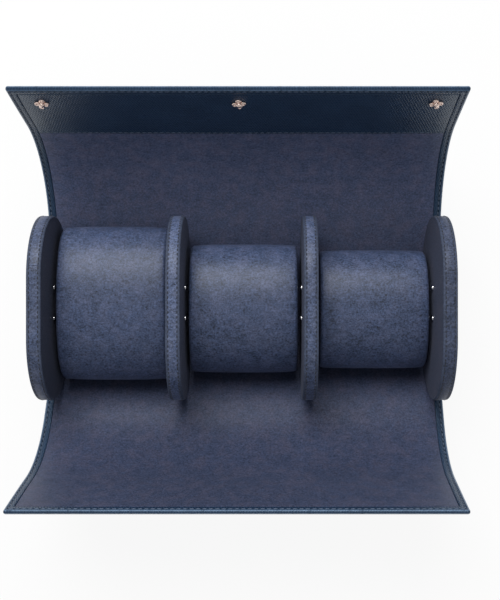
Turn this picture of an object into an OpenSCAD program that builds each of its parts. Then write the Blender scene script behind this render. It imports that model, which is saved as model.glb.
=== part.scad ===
// Travel roll for three watches.
// Stadium-shaped dividers stand on a leather wrap, with a cushion between each pair.
// Both flaps curl over the dividers, and three press studs hold them shut.
// Millimetres. +X runs along the roll, +Y to the back flap, +Z up.
// The origin is the middle of the flat underside that the roll stands on.

/* [Wrap] */
// Distance that the wrap stands out past the end dividers
wrap_overhang = 2; // [1.5:0.25:8]
// Thickness of the outer leather
leather_t = 1.2; // [0.9:0.1:1.6]
// Thickness of the stiffening board
board_t = 0.8; // [0.7:0.1:1.2]
// Thickness of the suede lining
lining_t = 0.8; // [0.7:0.1:1.2]
// Width of the leather turned over the edges of the lining
border_w = 5; // [3:0.5:8]
// Gap between neighbouring strips of the folding flaps
fold_gap = 0.7; // [0.5:0.1:1]

/* [Back flap] */
// Distance that the closed back flap reaches past the middle of the dividers
back_reach = 14.2; // [12:0.2:18]
// Extra length with which the back flap passes over the end of the front flap
back_slack = 5.1; // [4:0.1:6]
// Angle at which the back flap leaves the dividers
back_rise_angle = 20; // [18:0.5:22]
// Length of the straight stretch that leaves the dividers
back_run = 31; // [28:0.5:35]
// Radius of the curl of the back flap
back_bend_r = 72.5; // [69:0.5:76]
// Angle at which the end of the back flap stands
back_lean_angle = 75.6; // [73:0.2:78]
// Width of the first strip of the back flap, next to the base
back_strip_1_w = 10; // [8:0.5:12]
// Width of the second strip of the back flap
back_strip_2_w = 13.5; // [11:0.5:16]
// Width of the third strip of the back flap
back_strip_3_w = 26.5; // [22:0.5:30]
// Width of the fourth strip of the back flap
back_strip_4_w = 34; // [30:0.5:38]
// Width of the fifth strip of the back flap, where the leather facing begins
back_strip_5_w = 19.5; // [16:0.5:23]
// Width of the stiff panel at the end of the back flap
back_panel_w = 33.5; // [30:0.5:37]

/* [Front flap] */
// Distance that the closed front flap reaches past the middle of the dividers
front_reach = 10.2; // [9:0.2:12]
// Extra length with which the front flap passes round the dividers
front_slack = 2.6; // [2:0.1:3.2]
// Angle at which the front flap leaves the dividers
front_rise_angle = 30; // [28:0.5:32]
// Length of the straight stretch that leaves the dividers
front_run = 36; // [33:0.5:39]
// Radius of the curl of the front flap
front_bend_r = 61.5; // [58:0.5:65]
// Angle at which the end of the front flap stands
front_lean_angle = 78.6; // [76:0.2:81]
// Width of the first strip of the front flap, next to the base
front_strip_1_w = 9; // [7:0.5:11]
// Width of the second strip of the front flap
front_strip_2_w = 12.5; // [10:0.5:15]
// Width of the third strip of the front flap
front_strip_3_w = 20.5; // [17:0.5:24]
// Width of the fourth strip of the front flap
front_strip_4_w = 32.5; // [28:0.5:36]
// Width of the fifth strip of the front flap
front_strip_5_w = 16; // [13:0.5:19]
// Width of the stiff panel at the end of the front flap
front_panel_w = 33; // [30:0.5:36]

/* [Dividers] */
// Radius of the round ends of a divider
divider_r = 37.5; // [36.5:0.25:38.5]
// Length of the flat bottom and top of a divider
divider_flat = 34; // [30:0.5:38]
// Thickness of a divider
divider_t = 8.25; // [6:0.25:9]
// Clear width of a bay between two dividers
bay_w = 69; // [60:0.5:80]
// Thickness of the suede band round the rim
rim_t = 1.2; // [0.8:0.1:2]
// Thickness of the suede panel on each face
face_t = 1; // [0.6:0.1:1.6]

/* [Keeper studs] */
// Diameter of the head of a keeper stud
keeper_d = 3.2; // [2.6:0.1:4.5]
// Height of the head above the divider's face
keeper_h = 1.6; // [1:0.1:1.8]
// Diameter of the shank
keeper_shank_d = 1.4; // [1:0.1:2]
// Length of the shank inside the divider
keeper_shank_h = 3; // [2:0.1:3.5]
// Distance between the two studs of a pair
keeper_pitch = 18; // [12:0.5:26]
// Height of the studs above the middle of the divider
keeper_up = 4.5; // [-5:0.5:9]
// Distance of the pair behind the middle of the divider
keeper_y = 3; // [-6:0.5:8]

/* [Cushions] */
// Gap between the end of a cushion and a divider
cushion_end_gap = 2.5; // [2.2:0.1:4]
// Clearance between a cushion and the lining that it lies on
cushion_gap = 0.3; // [0.2:0.05:0.6]
// Thickness of the suede cover
cover_t = 1.2; // [0.8:0.1:2]
// Depth of the first cushion, from front to back
cushion_1_depth = 93; // [84:0.5:96]
// Height of the first cushion
cushion_1_h = 50; // [46:0.5:54]
// Distance of the first cushion behind the middle of the roll
cushion_1_y = 2.7; // [-3:0.1:4]
// Depth of the second cushion
cushion_2_depth = 78; // [72:0.5:90]
// Height of the second cushion
cushion_2_h = 48; // [44:0.5:53]
// Distance of the second cushion behind the middle of the roll
cushion_2_y = -0.5; // [-3:0.1:4]
// Depth of the third cushion
cushion_3_depth = 72; // [68:0.5:90]
// Height of the third cushion
cushion_3_h = 46; // [42:0.5:53]
// Distance of the third cushion behind the middle of the roll
cushion_3_y = -1; // [-3:0.1:4]
// Radius of the upper corners of a cushion
cushion_top_r = 20; // [14:0.5:24]

/* [Press studs] */
// Distance of the studs from the end of the back flap
snap_inset = 14; // [12:0.5:18]
// Distance of the outer studs from the sides of the wrap
snap_side = 16; // [12:0.5:25]
// Radius of each of the four lobes of a stud
lobe_r = 2.1; // [1.8:0.1:2.6]
// Radius of the hole in each lobe
lobe_hole_r = 1; // [0.6:0.1:1.2]
// Thickness of the lobed plate
lobe_t = 0.6; // [0.4:0.05:0.8]
// Radius of the post of a stud
post_r = 1.4; // [1.1:0.1:1.6]
// Radius of the ball at the tip of the post
ball_r = 1.7; // [1.4:0.05:1.9]
// Height of the tip above the flap's inner face
post_h = 3; // [2.6:0.1:3.2]
// Radius of the bore of a socket
socket_bore_r = 2.2; // [2.1:0.05:2.6]
// Wall of the cup of a socket
socket_wall = 0.7; // [0.5:0.05:1]
// Depth of the cup below the flap's outer face
socket_h = 2.3; // [2.1:0.05:2.4]
// Thickness of the floor of the cup
cup_floor_t = 0.3; // [0.2:0.05:0.5]
// Radius of the flange of a socket
flange_r = 5; // [4.5:0.1:6]
// Thickness of the flange
flange_t = 0.5; // [0.3:0.05:0.6]
// Radius of the washers that clench studs and sockets in the flaps
washer_r = 4.4; // [4.2:0.1:5]
// Thickness of the washers
washer_t = 0.5; // [0.3:0.05:0.6]
// Clearance of holes round shanks, cups and washers
hole_gap = 0.05; // [0.03:0.01:0.1]

/* [Hidden] */

$fn = 64;
navy = [0.10, 0.14, 0.22];
slate = [0.24, 0.27, 0.36];
rose_gold = [0.80, 0.56, 0.47];
steel = [0.75, 0.76, 0.78];
card = [0.55, 0.50, 0.42];
foam = [0.85, 0.84, 0.80];

rad = PI / 180;
// How far a cut runs past the faces that it opens
cut = 1;
// Largest angle between neighbouring facets of the curled wrap
facet_angle = 2.5;
// Shortest facet of the wrap
close = 0.01;

divider_count = 4;
divider_pitch = bay_w + divider_t;
wrap_w = divider_count * divider_t + (divider_count - 1) * bay_w + 2 * wrap_overhang;
wrap_t = leather_t + board_t + lining_t;
lining_w = wrap_w - 2 * border_w;
mid_r = divider_r + wrap_t / 2;
inner = wrap_t / 2;
outer = -wrap_t / 2;
divider_z = wrap_t + divider_r;
cushion_w = bay_w - 2 * cushion_end_gap;
snap_xs = [-1, 0, 1] * (wrap_w / 2 - snap_side);

// Length of a flap from the middle of the base, so that it closes round the dividers
function flap_len(slack, reach) = divider_flat + PI * mid_r + slack + reach;

// A flap is [length, rise, run, bend radius, lean, folds], its folds measured from the middle of the base
function flap(long, rise, run, bend_r, lean, widths) = [long, rise, run, bend_r, lean,
  [for (i = [0:fold_count - 1]) long - sum_from(widths, i)]];
function sum_from(list, i) = i == len(list) ? 0 : list[i] + sum_from(list, i + 1);

fold_count = 6;
back = flap(flap_len(back_slack, back_reach), back_rise_angle, back_run, back_bend_r, back_lean_angle,
  [back_strip_1_w, back_strip_2_w, back_strip_3_w, back_strip_4_w, back_strip_5_w, back_panel_w]);
front = flap(flap_len(front_slack, front_reach), front_rise_angle, front_run, front_bend_r, front_lean_angle,
  [front_strip_1_w, front_strip_2_w, front_strip_3_w, front_strip_4_w, front_strip_5_w, front_panel_w]);

// Where each stretch of a flap's middle surface starts, measured along it, and its end
function starts(flap) = let (
    arc = divider_flat / 2 + mid_r * flap[1] * rad,
    bend = arc + flap[2],
    upright = bend + flap[3] * (flap[4] - flap[1]) * rad
  ) [0, divider_flat / 2, arc, bend, upright, flap[0]];

// Slope at the start of a stretch, and its radius, where 0 is a straight stretch
function stretch_slope(flap, k) = k < 2 ? 0 : k < 4 ? flap[1] : flap[4];
function stretch_r(flap, k) = k == 1 ? mid_r : k == 3 ? flap[3] : 0;

function along(slope) = [cos(slope), sin(slope)];
function across(slope) = [-sin(slope), cos(slope)];

// Step from the start of stretch k to d further along it
function step(flap, k, d) = let (
    slope = stretch_slope(flap, k),
    r = stretch_r(flap, k)
  ) r == 0 ? d * along(slope) : r * (across(slope) - across(slope + d / r / rad));

// Start of stretch k in the [y, z] plane
function origin(flap, k) = k == 0 ? [0, wrap_t / 2]
  : origin(flap, k - 1) + step(flap, k - 1, starts(flap)[k] - starts(flap)[k - 1]);

function stretch_at(flap, s, k = 4) = k == 0 || s >= starts(flap)[k] ? k : stretch_at(flap, s, k - 1);

// Slope of the flap and point off its middle surface by o, at s along it
function slope_at(flap, s) = let (
    k = stretch_at(flap, s),
    r = stretch_r(flap, k)
  ) stretch_slope(flap, k) + (r == 0 ? 0 : (s - starts(flap)[k]) / r / rad);
function point_at(flap, s, o = 0) = let (k = stretch_at(flap, s))
  origin(flap, k) + step(flap, k, s - starts(flap)[k]) + o * across(slope_at(flap, s));

// Studs and sockets meet at stud_y above the dividers when both flaps are closed
stud_y = snap_inset - back_reach;
stud_s = back[0] - snap_inset;
socket_s = front[0] - front_reach + stud_y;

// Places along a flap from s0 to s1 at which its section has corners, none closer to an end than close
function stations(flap, s0, s1) = let (at = starts(flap)) [
  s0,
  for (k = [0:4])
    let (
      r = stretch_r(flap, k),
      long = at[k + 1] - at[k],
      n = r == 0 ? 1 : ceil(long / r / rad / facet_angle)
    )
    for (i = [0:n - 1])
      let (s = at[k] + long * i / n)
      if (s > s0 + close && s < s1 - close) s,
  s1
];

function reversed(list) = [for (i = [len(list) - 1:-1:0]) list[i]];
function mirrored(list) = [for (p = list) [-p.x, p.y]];

// Line at offset o from s0 to s1, its first and last facets lengthened by lead and by tail
function edge(flap, s0, s1, o, lead = 0, tail = 0) = let (
    line = [for (s = stations(flap, s0, s1)) point_at(flap, s, o)],
    last = len(line) - 1
  ) [
    moved_on(line[0], line[1], lead),
    for (i = [1:1:last - 1]) line[i],
    moved_on(line[last], line[last - 1], tail)
  ];
function moved_on(end, neighbour, d) = end + d * (end - neighbour) / norm(end - neighbour);

// Section of a flap from s0 to s1, between the offsets o0 and o1
module band(flap, s0, s1, o0, o1, lead = 0, tail = 0) {
  polygon(concat(edge(flap, s0, s1, o0, lead, tail), reversed(edge(flap, s0, s1, o1, lead, tail))));
}

// Extrudes a section of the roll, drawn in its [y, z] plane, from x to x + w
module along_roll(x, w) {
  translate([x, 0, 0]) rotate([90, 0, 90]) linear_extrude(height = w) children();
}

// Mirrors what is drawn for the back flap to the front of the roll
module to_front(is_front = true) {
  mirror([0, is_front ? 1 : 0, 0]) children();
}

// Any layer between the side borders
module layer(flap, s0, s1, o0, o1, lead = 0, tail = 0) {
  along_roll(-lining_w / 2, lining_w) band(flap, s0, s1, o0, o1, lead, tail);
}

function strip_start(flap, i) = flap[5][i - 1] + fold_gap / 2;
function strip_end(flap, i) = i == fold_count ? flap[0] : flap[5][i] - fold_gap / 2;

// Places what is drawn at the origin, facing +Z, on the middle surface of a flap at s
module on_flap(flap, s, x) {
  p = point_at(flap, s);
  translate([x, p.x, p.y]) rotate([slope_at(flap, s), 0, 0]) children();
}

// Leather of strip i, pocketed for the layers that lie between its turned borders
module flap_leather(flap, i) {
  s0 = strip_start(flap, i);
  s1 = strip_end(flap, i);
  is_last = i == fold_count;
  color(navy) difference() {
    along_roll(-wrap_w / 2, wrap_w) band(flap, s0, s1, outer, inner);
    layer(flap, s0, s1 - (is_last ? border_w : 0), outer + leather_t, inner + cut, cut, is_last ? 0 : cut);
  }
}

module end_layer(flap, o0, o1) {
  layer(flap, strip_start(flap, fold_count), flap[0] - border_w, o0, o1);
}

// Section of the base, which the dividers stand on, with both ends run on by tail
module base_band(o0, o1, tail = 0) {
  s0 = divider_flat / 2;
  s1 = base_end(back);
  s2 = base_end(front);
  polygon(concat(
    mirrored(reversed(edge(front, s0, s2, o0, 0, tail))), edge(back, s0, s1, o0, 0, tail),
    reversed(edge(back, s0, s1, o1, 0, tail)), mirrored(edge(front, s0, s2, o1, 0, tail))
  ));
}

function base_end(flap) = flap[5][0] - fold_gap / 2;

module base_leather() {
  color(navy) difference() {
    along_roll(-wrap_w / 2, wrap_w) base_band(outer, inner);
    along_roll(-lining_w / 2, lining_w) base_band(outer + leather_t, inner + cut, cut);
  }
}

module base_layer(o0, o1) { along_roll(-lining_w / 2, lining_w) base_band(o0, o1); }
module base_board() { color(card) base_layer(outer + leather_t, inner - lining_t); }
module base_lining() { color(slate) base_layer(inner - lining_t, inner); }

module back_leather(i) { flap_leather(back, i); }

module back_lining(i) {
  color(slate) layer(back, strip_start(back, i), strip_end(back, i), outer + leather_t, inner);
}

// Leather facing inside the end of the back flap, bored for the shanks of the studs
module back_facing(i) {
  color(navy)
    if (i < fold_count) layer(back, strip_start(back, i), strip_end(back, i), outer + leather_t, inner);
    else difference() {
      end_layer(back, inner - lining_t, inner);
      for (x = snap_xs) on_flap(back, stud_s, x) cylinder(r = post_r + hole_gap, h = 2 * wrap_t);
    }
}

module back_board() {
  color(card) difference() {
    end_layer(back, outer + leather_t, inner - lining_t);
    for (x = snap_xs)
      on_flap(back, stud_s, x) cylinder(r = washer_r + hole_gap, h = 2 * wrap_t, center = true);
  }
}

// The front flap's end is bored for the cups of the sockets
module front_leather(i) {
  to_front() difference() {
    flap_leather(front, i);
    if (i == fold_count) socket_holes(socket_r() + hole_gap);
  }
}

function socket_r() = socket_bore_r + socket_wall;

module socket_holes(r) {
  for (x = snap_xs)
    on_flap(front, socket_s, x)
      translate([0, 0, outer - cut]) cylinder(r = r, h = socket_h + hole_gap + cut);
}

module front_lining(i) {
  color(slate) to_front()
    if (i < fold_count)
      layer(front, strip_start(front, i), strip_end(front, i), outer + leather_t, inner);
    else difference() {
      end_layer(front, inner - lining_t, inner);
      socket_holes(socket_r() + hole_gap);
    }
}

module front_board() {
  color(card) to_front() difference() {
    end_layer(front, outer + leather_t, inner - lining_t);
    for (x = snap_xs)
      on_flap(front, socket_s, x) cylinder(r = washer_r + hole_gap, h = 2 * wrap_t, center = true);
  }
}

// Dividers: a core, a suede band round the rim and a suede panel on each face
module stadium(r) {
  for (y = [-1, 1]) translate([y * divider_flat / 2, divider_z]) circle(r = r, $fn = 96);
  translate([-divider_flat / 2, divider_z - r]) square([divider_flat, 2 * r]);
}

function divider_x(i) = (i - (divider_count + 1) / 2) * divider_pitch - divider_t / 2;

module divider_rim(i) {
  color(slate) along_roll(divider_x(i), divider_t) difference() {
    stadium(divider_r);
    stadium(divider_r - rim_t);
  }
}

module divider_core(i) {
  color(card) difference() {
    along_roll(divider_x(i) + face_t, divider_t - 2 * face_t) stadium(divider_r - rim_t);
    keeper_places(i) keeper_hole();
  }
}

module divider_faces(i) {
  color(slate) difference() {
    for (x = [0, divider_t - face_t])
      along_roll(divider_x(i) + x, face_t) stadium(divider_r - rim_t);
    keeper_places(i) keeper_hole();
  }
}

// Keeper studs: a pair on each divider face that looks into a bay
module keeper_places(i) {
  sides = i == 1 ? [1] : i == 4 ? [-1] : [-1, 1];
  for (side = sides, y = [-1, 1])
    translate([divider_x(i) + divider_t / 2 + side * divider_t / 2,
      keeper_y + y * keeper_pitch / 2, divider_z + keeper_up])
      rotate([0, side * 90, 0]) children();
}

module keeper_hole() {
  translate([0, 0, -keeper_shank_h - hole_gap])
    cylinder(d = keeper_shank_d + 2 * hole_gap, h = keeper_shank_h + hole_gap + cut);
}

// A shank and a head whose top is domed
module keeper_stud() {
  rim_h = keeper_h / 4;
  dome_h = keeper_h - rim_h;
  dome_r = (keeper_d * keeper_d / 4 + dome_h * dome_h) / (2 * dome_h);
  translate([0, 0, -keeper_shank_h]) cylinder(d = keeper_shank_d, h = keeper_shank_h);
  cylinder(d = keeper_d, h = rim_h);
  intersection() {
    translate([0, 0, keeper_h - dome_r]) sphere(r = dome_r);
    translate([0, 0, rim_h]) cylinder(d = keeper_d, h = dome_h);
  }
}

module keeper_studs() {
  color(steel) for (i = [1:4]) keeper_places(i) keeper_stud();
}

// Cushions: [depth, height, y] of each
cushions = [
  [cushion_1_depth, cushion_1_h, cushion_1_y],
  [cushion_2_depth, cushion_2_h, cushion_2_y],
  [cushion_3_depth, cushion_3_h, cushion_3_y]
];

function lower_r(c) = c[1] - cushion_top_r;

// Height at which a lower corner clears the straight stretch of a flap
function corner_z(flap, c, y) = let (
    foot = point_at(flap, starts(flap)[2], inner),
    reach = y + c[0] / 2 - lower_r(c) - foot.x
  ) foot.y + (lower_r(c) + cushion_gap + reach * sin(flap[1])) / cos(flap[1]) - lower_r(c);

function cushion_z(c) = max(wrap_t + cushion_gap, corner_z(back, c, c[2]), corner_z(front, c, -c[2]));

// Section of a cushion: large lower corners, smaller upper ones, inset by t
module cushion_section(c, t) {
  low = lower_r(c);
  half = c[0] / 2;
  translate([c[2], cushion_z(c) + low]) {
    intersection() {
      rounded_row(half - low, low - t);
      translate([-half, -c[1]]) square([2 * half, c[1]]);
    }
    intersection() {
      rounded_row(half - cushion_top_r, cushion_top_r - t);
      translate([-half, 0]) square([2 * half, c[1]]);
    }
  }
}

// Two circles and what lies between them
module rounded_row(half, r) {
  for (y = [-1, 1]) translate([y * half, 0]) circle(r = r, $fn = 96);
  translate([-half, -r]) square([2 * half, 2 * r]);
}

function cushion_x(i) = (i - 2) * divider_pitch - cushion_w / 2;

module cushion_foam(i) {
  color(foam) along_roll(cushion_x(i) + cover_t, cushion_w - 2 * cover_t)
    cushion_section(cushions[i - 1], cover_t);
}

module cushion_cover(i) {
  color(slate) along_roll(cushion_x(i), cushion_w) difference() {
    cushion_section(cushions[i - 1], 0);
    cushion_section(cushions[i - 1], cover_t);
  }
}

module cushion_ends(i) {
  color(slate) for (x = [0, cushion_w - cover_t])
    along_roll(cushion_x(i) + x, cover_t) cushion_section(cushions[i - 1], cover_t);
}

// Press studs: a plate of four lobes round a ball-tipped post, on a shank through the facing
module snap_stud() {
  shank_h = lining_t + washer_t;
  translate([0, 0, inner - shank_h]) cylinder(r = post_r, h = shank_h + post_h - ball_r);
  translate([0, 0, inner + post_h - ball_r]) sphere(r = ball_r);
  translate([0, 0, inner]) {
    cylinder(r = lobe_r, h = lobe_t);
    for (a = [0:90:270]) rotate(a + 45) translate([lobe_r, 0, 0]) lobe();
  }
}

module lobe() {
  difference() {
    cylinder(r = lobe_r, h = lobe_t);
    translate([lobe_r / 2, 0, -cut]) cylinder(r = lobe_hole_r, h = lobe_t + 2 * cut);
  }
}

module snap_studs() {
  color(rose_gold) for (x = snap_xs) on_flap(back, stud_s, x) snap_stud();
}

module washer(r) {
  difference() {
    cylinder(r = washer_r, h = washer_t);
    translate([0, 0, -cut]) cylinder(r = r + hole_gap, h = washer_t + 2 * cut);
  }
}

module snap_stud_washers() {
  color(rose_gold) for (x = snap_xs)
    on_flap(back, stud_s, x) translate([0, 0, inner - lining_t - washer_t]) washer(post_r);
}

// Sockets: a cup sunk into the front flap, its flange on the outer face
module snap_socket() {
  translate([0, 0, outer]) difference() {
    union() {
      translate([0, 0, -flange_t]) cylinder(r = flange_r, h = flange_t);
      cylinder(r = socket_r(), h = socket_h);
    }
    translate([0, 0, -flange_t - cut])
      cylinder(r = socket_bore_r, h = cut + flange_t + socket_h - cup_floor_t);
  }
}

module snap_sockets() {
  color(rose_gold) to_front() for (x = snap_xs) on_flap(front, socket_s, x) snap_socket();
}

module snap_socket_washers() {
  color(rose_gold) to_front() for (x = snap_xs)
    on_flap(front, socket_s, x) translate([0, 0, outer + leather_t]) washer(socket_r());
}

base_leather();
base_board();
base_lining();
for (i = [1:6])
  back_leather(i);
for (i = [1:4])
  back_lining(i);
for (i = [5:6])
  back_facing(i);
back_board();
for (i = [1:6])
  front_leather(i);
for (i = [1:6])
  front_lining(i);
front_board();
for (i = [1:4])
  divider_core(i);
for (i = [1:4])
  divider_rim(i);
for (i = [1:4])
  divider_faces(i);
keeper_studs();
for (i = [1:3])
  cushion_foam(i);
for (i = [1:3])
  cushion_cover(i);
for (i = [1:3])
  cushion_ends(i);
snap_studs();
snap_stud_washers();
snap_sockets();
snap_socket_washers();
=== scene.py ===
"""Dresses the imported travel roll: a leather wrap with a suede lining, dividers, cushions and studs."""

import logging
import math
from collections.abc import Iterable
from dataclasses import dataclass, field
from enum import Enum

import bmesh
import bpy
from mathutils import Matrix, Vector


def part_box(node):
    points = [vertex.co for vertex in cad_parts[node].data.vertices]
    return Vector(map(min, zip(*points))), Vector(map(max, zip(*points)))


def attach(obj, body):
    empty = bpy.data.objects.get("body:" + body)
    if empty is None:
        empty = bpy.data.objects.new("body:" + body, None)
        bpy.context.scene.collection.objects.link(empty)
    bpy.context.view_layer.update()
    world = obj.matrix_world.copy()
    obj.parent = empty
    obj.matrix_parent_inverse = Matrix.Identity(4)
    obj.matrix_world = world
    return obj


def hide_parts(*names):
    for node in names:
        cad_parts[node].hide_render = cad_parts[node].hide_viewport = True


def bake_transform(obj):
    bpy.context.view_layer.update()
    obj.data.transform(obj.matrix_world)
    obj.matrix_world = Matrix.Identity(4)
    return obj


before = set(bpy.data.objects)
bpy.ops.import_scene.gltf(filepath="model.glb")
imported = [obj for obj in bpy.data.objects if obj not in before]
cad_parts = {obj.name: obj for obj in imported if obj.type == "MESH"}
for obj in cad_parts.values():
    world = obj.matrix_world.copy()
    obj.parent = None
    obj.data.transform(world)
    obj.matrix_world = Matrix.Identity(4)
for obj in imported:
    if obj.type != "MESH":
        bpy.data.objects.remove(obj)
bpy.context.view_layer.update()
LOG = logging.getLogger("travel_roll")

Mesh = bmesh.types.BMesh
Edges = list[bmesh.types.BMEdge]
Faces = list[bmesh.types.BMFace]
Piece = bpy.types.Object
Material = bpy.types.Material
Tree = bpy.types.NodeTree
Node = bpy.types.Node
Socket = bpy.types.NodeSocket
Pair = tuple[float, float]
Colour = tuple[float, float, float, float]

MM = 0.001
SAME = 1e-6

# Sides of the roll, and the axes of the flat pattern: across the roll, along the wrap and out of it.
BACK, FRONT = 1, -1
X, S, O = 0, 1, 2


class Slot(Enum):
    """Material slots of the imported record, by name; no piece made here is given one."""

    LEATHER = "navy_leather"
    SUEDE = "suede"
    ROSE_GOLD = "rose_gold"
    STEEL = "steel"
    FOAM = "foam"


# ---------------------------------------------------------------- bench work


def slab(xs: Pair, ss: Pair, os: Pair) -> Mesh:
    """Cuts a flat block in pattern space.

    Args:
        xs: Where it begins and ends across the roll.
        ss: Where it begins and ends along the wrap.
        os: Its lower and upper face.

    Returns:
        The block as a new bmesh.
    """
    bm = bmesh.new()
    bmesh.ops.create_cube(bm, size=1.0)
    spans = (xs, ss, os)
    bmesh.ops.scale(bm, vec=[b - a for a, b in spans], verts=bm.verts)
    bmesh.ops.translate(bm, vec=[(a + b) / 2 for a, b in spans], verts=bm.verts)
    return bm


def slice_at(bm: Mesh, axis: int, places: Iterable[float]) -> None:
    """Splits every face at planes across one axis.

    Args:
        bm: The mesh to split.
        axis: X, S or O.
        places: Where the planes lie.
    """
    for place in places:
        at, normal = Vector(), Vector()
        at[axis], normal[axis] = place, 1.0
        geom = bm.verts[:] + bm.edges[:] + bm.faces[:]
        bmesh.ops.bisect_plane(bm, geom=geom, plane_co=at, plane_no=normal, dist=SAME)


def spread(low: float, high: float, step: float) -> list[float]:
    """Even places between two ends, no further apart than a step."""
    count = max(1, math.ceil((high - low) / step))
    return [low + (high - low) * i / count for i in range(1, count)]


def near(a: float, b: float) -> bool:
    """True where two lengths are the same."""
    return abs(a - b) < SAME


def clipped(share: float) -> float:
    """Share held between 0 and 1."""
    return min(1.0, max(0.0, share))


def draw_out(bm: Mesh, faces: Faces, by: tuple[float, float, float]) -> None:
    """Extrudes faces and moves what is drawn out.

    Args:
        bm: The mesh that holds them.
        faces: The faces, which stay where they are.
        by: How far the new faces move.
    """
    made = bmesh.ops.extrude_face_region(bm, geom=faces)
    moved = [part for part in made["geom"] if isinstance(part, bmesh.types.BMVert)]
    bmesh.ops.translate(bm, vec=by, verts=moved)


def sharp_edges(bm: Mesh, angle: float = 1.0) -> Edges:
    """Edges whose two faces meet at more than an angle."""
    return [edge for edge in bm.edges if edge.is_manifold and edge.calc_face_angle(0.0) > angle]


def roll_edges(bm: Mesh, edges: Edges, radius: float, segments: int) -> None:
    """Rounds edges.

    Args:
        bm: The mesh that holds them.
        edges: The edges to round.
        radius: How far the rounding reaches.
        segments: How many facets it has.
    """
    if edges:
        bmesh.ops.bevel(
            bm, geom=edges, offset=radius, offset_type="OFFSET", segments=segments,
            profile=0.5, affect="EDGES", material=-1, clamp_overlap=True,
        )


def pattern_uv(bm: Mesh) -> None:
    """Gives each face its place in the flat pattern, in metres, as its UV map.

    A side or end is unrolled from the outer face outwards, as the leather lies before it is turned over.

    Args:
        bm: The piece, still flat.
    """
    layer = bm.loops.layers.uv.new("pattern")
    bm.normal_update()
    outer = min(vert.co[O] for vert in bm.verts)
    for face in bm.faces:
        sizes = [abs(part) for part in face.normal]
        away = sizes.index(max(sizes))
        for loop in face.loops:
            place = loop.vert.co.copy()
            if away != O:
                place[away] += math.copysign(place[O] - outer, place[away])
            loop[layer].uv = (place[X], place[S])


def join(bm: Mesh, part: Mesh, place: Matrix) -> None:
    """Sets a part in place, adds it to a mesh and frees it.

    Args:
        bm: The mesh that the part joins.
        part: The part, which is used up.
        place: Its place.
    """
    bmesh.ops.transform(part, matrix=place, verts=part.verts)
    data = bpy.data.meshes.new("part")
    part.to_mesh(data)
    part.free()
    bm.from_mesh(data)
    bpy.data.meshes.remove(data)


def turn_round(bm: Mesh, part: Mesh, steps: int, place: Matrix) -> None:
    """Turns an outline once round the third axis and adds the closed shape to a mesh.

    Args:
        bm: The mesh that the shape joins.
        part: The outline, which is used up.
        steps: How many facets the shape has round it.
        place: Where its foot stands and which way its axis points.
    """
    bmesh.ops.spin(
        part, geom=part.verts[:] + part.edges[:], cent=(0, 0, 0), axis=(0, 0, 1), dvec=(0, 0, 0),
        angle=math.tau, steps=steps, use_merge=True, use_normal_flip=False, use_duplicate=False,
    )
    bmesh.ops.remove_doubles(part, verts=part.verts, dist=SAME / 10)
    bmesh.ops.recalc_face_normals(part, faces=part.faces)
    join(bm, part, place)


def spun(bm: Mesh, profile: list[Pair], steps: int, place: Matrix) -> None:
    """Turns a profile about its own axis, like a part on a lathe.

    Args:
        bm: The mesh that the part joins.
        profile: Radius and height of each corner, from the axis round to the axis.
        steps: How many facets it has round it.
        place: Where its foot stands and which way its axis points.
    """
    part = bmesh.new()
    corners = [part.verts.new((r, 0.0, h)) for r, h in profile]
    for pair in zip(corners, corners[1:]):
        part.edges.new(pair)
    turn_round(bm, part, steps, place)


def ring(bm: Mesh, radius: float, wire: float, place: Matrix, steps: int) -> None:
    """Bends a round wire into a ring.

    Args:
        bm: The mesh that the ring joins.
        radius: From the middle of the ring to the middle of the wire.
        wire: Radius of the wire.
        place: Where the middle lies and which way the ring faces.
        steps: How many facets the ring has round it.
    """
    part = bmesh.new()
    stand = Matrix.Translation((radius, 0, 0)) @ Matrix.Rotation(math.pi / 2, 4, "X")
    bmesh.ops.create_circle(part, segments=10, radius=wire, matrix=stand)
    turn_round(bm, part, steps, place)


def sewn(places: list[Matrix], size: tuple[float, float, float]) -> Mesh:
    """Makes a row of stitches.

    Args:
        places: Where each stitch lies, with its first axis along the thread.
        size: Length, width and height of a stitch.

    Returns:
        All the stitches as a new bmesh.
    """
    bm = bmesh.new()
    lying = Matrix.Rotation(math.pi / 2, 4, "Y")
    bmesh.ops.create_uvsphere(bm, u_segments=6, v_segments=5, radius=0.5, matrix=lying)
    bmesh.ops.scale(bm, vec=size, verts=bm.verts)
    template = bpy.data.meshes.new("stitch")
    bm.to_mesh(template)
    bm.free()
    bm = bmesh.new()
    for place in places:
        start = len(bm.verts)
        bm.from_mesh(template)
        bm.verts.ensure_lookup_table()
        bmesh.ops.transform(bm, matrix=place, verts=bm.verts[start:])
    bpy.data.meshes.remove(template)
    return bm


def finished(bm: Mesh, name: str, material: Material, crease: float = 0.7) -> Piece:
    """Makes a piece from a mesh, shaded smooth up to its creases.

    Args:
        bm: The mesh, which is used up.
        name: Name of the piece.
        material: Its finish.
        crease: Smallest angle that stays a crease.

    Returns:
        The piece, linked into the scene.
    """
    bm.normal_update()
    for face in bm.faces:
        face.smooth = True
    for edge in bm.edges:
        edge.smooth = not (edge.is_manifold and edge.calc_face_angle(0.0) > crease)
    data = bpy.data.meshes.new(name)
    bm.to_mesh(data)
    bm.free()
    data.materials.append(material)
    piece = bpy.data.objects.new(name, data)
    bpy.context.scene.collection.objects.link(piece)
    LOG.info("%s: %d faces", name, len(data.polygons))
    return piece


# ---------------------------------------------------------------- shader work


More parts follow.
